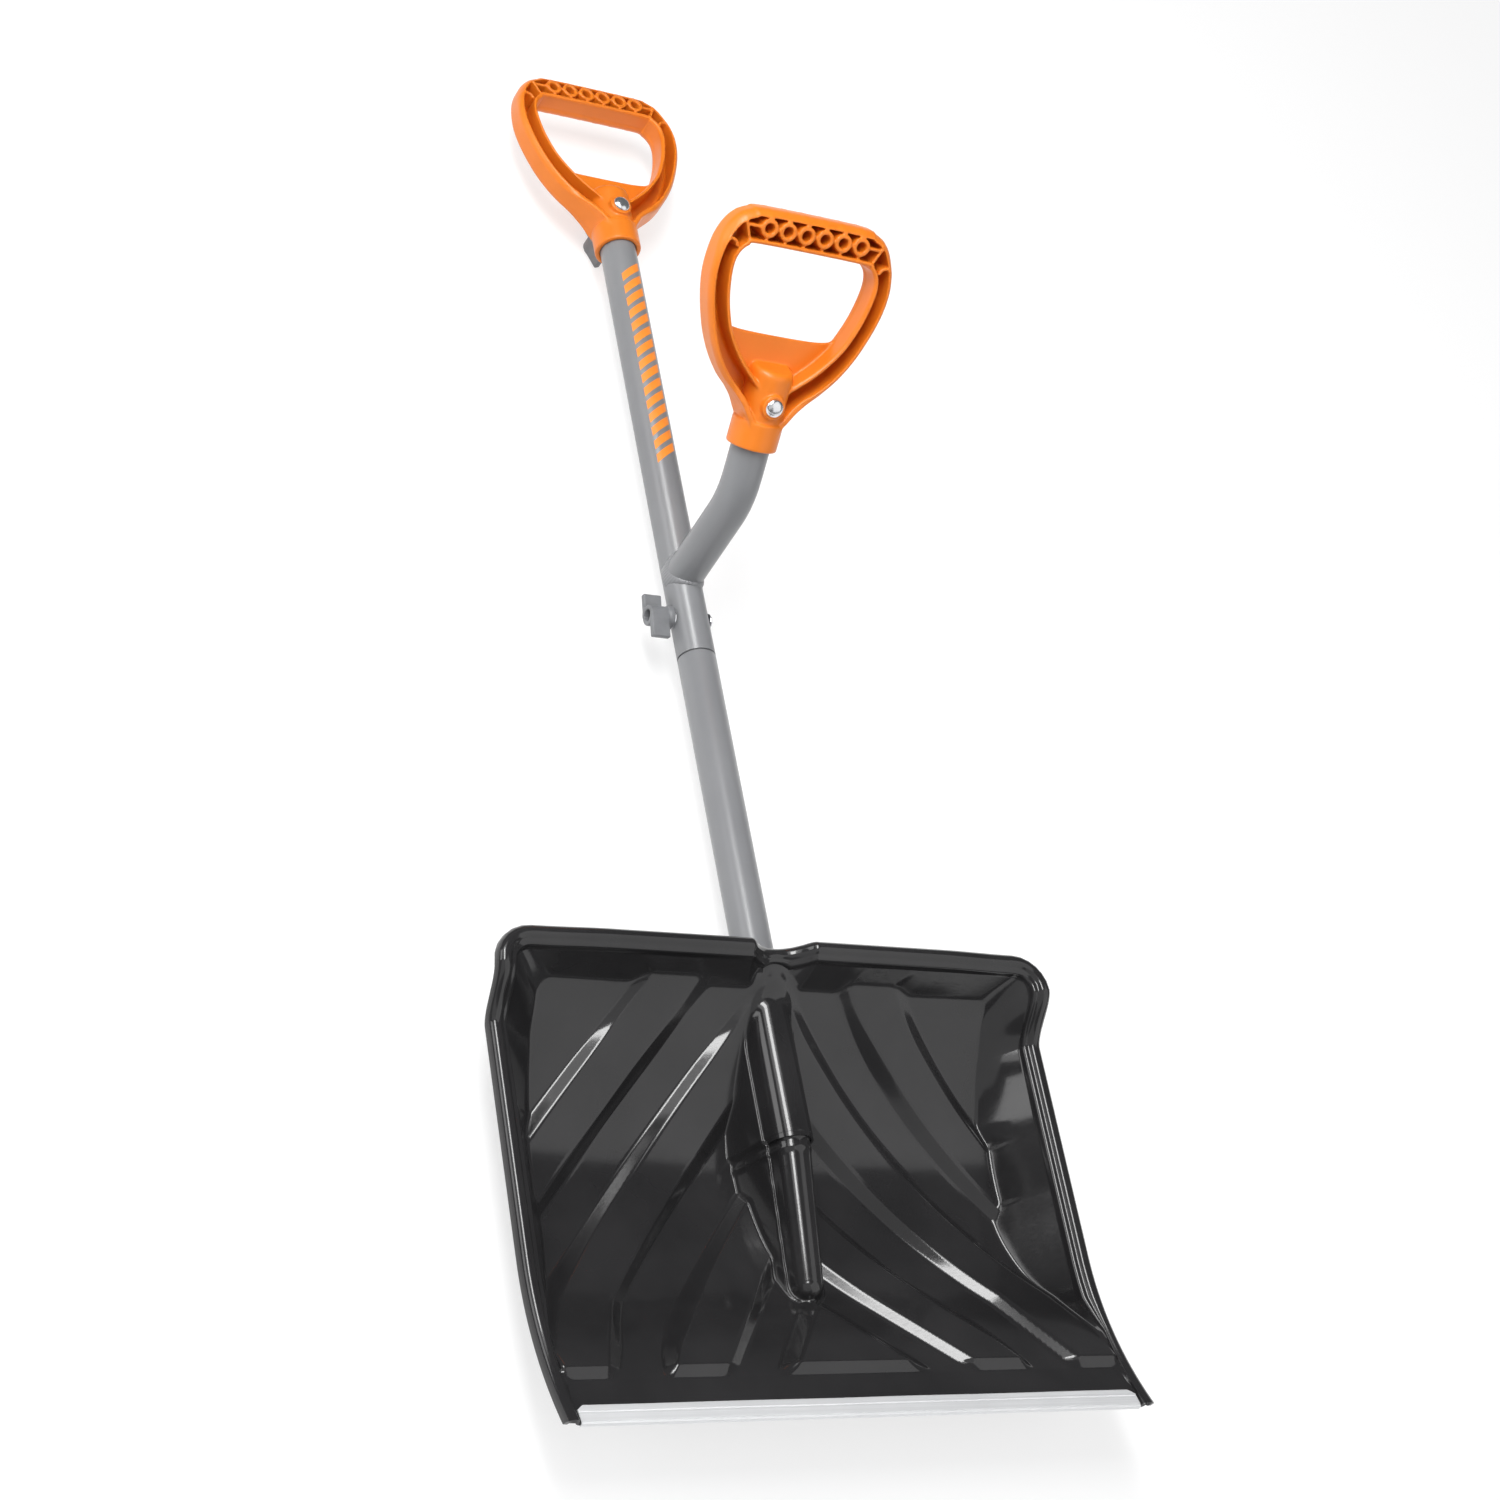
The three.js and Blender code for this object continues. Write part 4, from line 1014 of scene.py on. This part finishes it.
def wing_distance(x, y, z):
    """A wing knob, z out from its seat: a round hub on a wider foot, with one wing along +x and one
    along -x that lie on opposite sides of the hub. Its bore shows the bolt's end."""
    hub = np.hypot(x, y)
    body = soft_max(soft_max(hub - HUB, z - KNOB_HEIGHT, 1.2), -z, 0.8)
    foot = soft_max(soft_max(hub - HUB_FOOT, z - FOOT_HEIGHT, 1.5), -z, 0.8)
    body = soft_min(body, foot, 2.0)
    middle, half = (KNOB_HEIGHT + WING_BOTTOM) / 2, (KNOB_HEIGHT - WING_BOTTOM) / 2
    for side in (1, -1):
        box = [np.abs(side * x - WING_OUT / 2) - WING_OUT / 2,
               np.abs(side * y - WING_OFFSET) - WING_HALF, np.abs(z - middle) - half]
        outside = np.sqrt(sum(np.maximum(d + WING_RIM, 0) ** 2 for d in box))
        inside = np.minimum(np.maximum(np.maximum(box[0], box[1]), box[2]) + WING_RIM, 0)
        body = soft_min(body, outside + inside - WING_RIM, 1.2)
    body = soft_max(body, -np.maximum(hub - KNOB_BORE, BORE_FROM - z), 0.6)
    return np.maximum(body, -np.maximum(hub - INSERT_POCKET, z - POCKET_END))


def make_bolt_and_washer(prefix, place, seat, washer_body):
    """A bolt through both seats, its head on the +z side, and the washer on the other side."""
    points, faces = turned(bolt_profile(2 * seat + BOLT_REACH), 64)
    bolt = new_piece(prefix + "_bolt_fine", points, faces, ZINC, "shovel",
                     (prefix + "_bolt",), place @ Matrix.Translation((0, 0, seat + GAP)))
    sharpen(bolt, 40)
    points, faces = turned(washer_profile(), 64)
    washer = new_piece(prefix + "_washer_fine", points, faces, ZINC, washer_body,
                       (prefix + "_washer",),
                       place @ TO_BACK @ Matrix.Translation((0, 0, seat + GAP)))
    sharpen(washer, 40)


def make_fasteners():
    """The three clamps. The middle and top ones end in wing knobs, which ride on their own joints."""
    knob_points, knob_faces = from_field(wing_distance, (-21.5, -11, -1.5), (21.5, 11, 21.5), 0.45)
    across = Matrix.Translation((0, MID_BOLT, 0)) @ Matrix.Rotation(math.pi / 2, 4, "Y")
    for prefix, place, seat in (("mid", across, TUBE_RADIUS), ("top", TOP_PLACE, COLLAR)):
        make_bolt_and_washer(prefix, place, seat, prefix + "_washer")
        out = Matrix.Translation((0, 0, seat + GAP + WASHER_THICK + KNOB_GAP))
        turn = Matrix.Rotation(KNOB_TURN[prefix], 4, "Z")
        new_piece(prefix + "_wing_knob", knob_points, knob_faces, KNOB, prefix + "_knob",
                  (prefix + "_knob",), place @ TO_BACK @ out @ turn)
    make_bolt_and_washer("aux", AUX_PLACE, COLLAR, "shovel")


make_blade()
make_strip()
make_tubes()
make_branch()
make_weld()
make_stripes()
make_grips()
make_fasteners()

# plain CAD pieces that stay as they are, with better metal
for name in ("blade_screw", "mid_knob_insert", "top_knob_insert", "aux_nut"):
    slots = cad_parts[name].data.materials
    slots.clear()
    slots.append(ZINC)
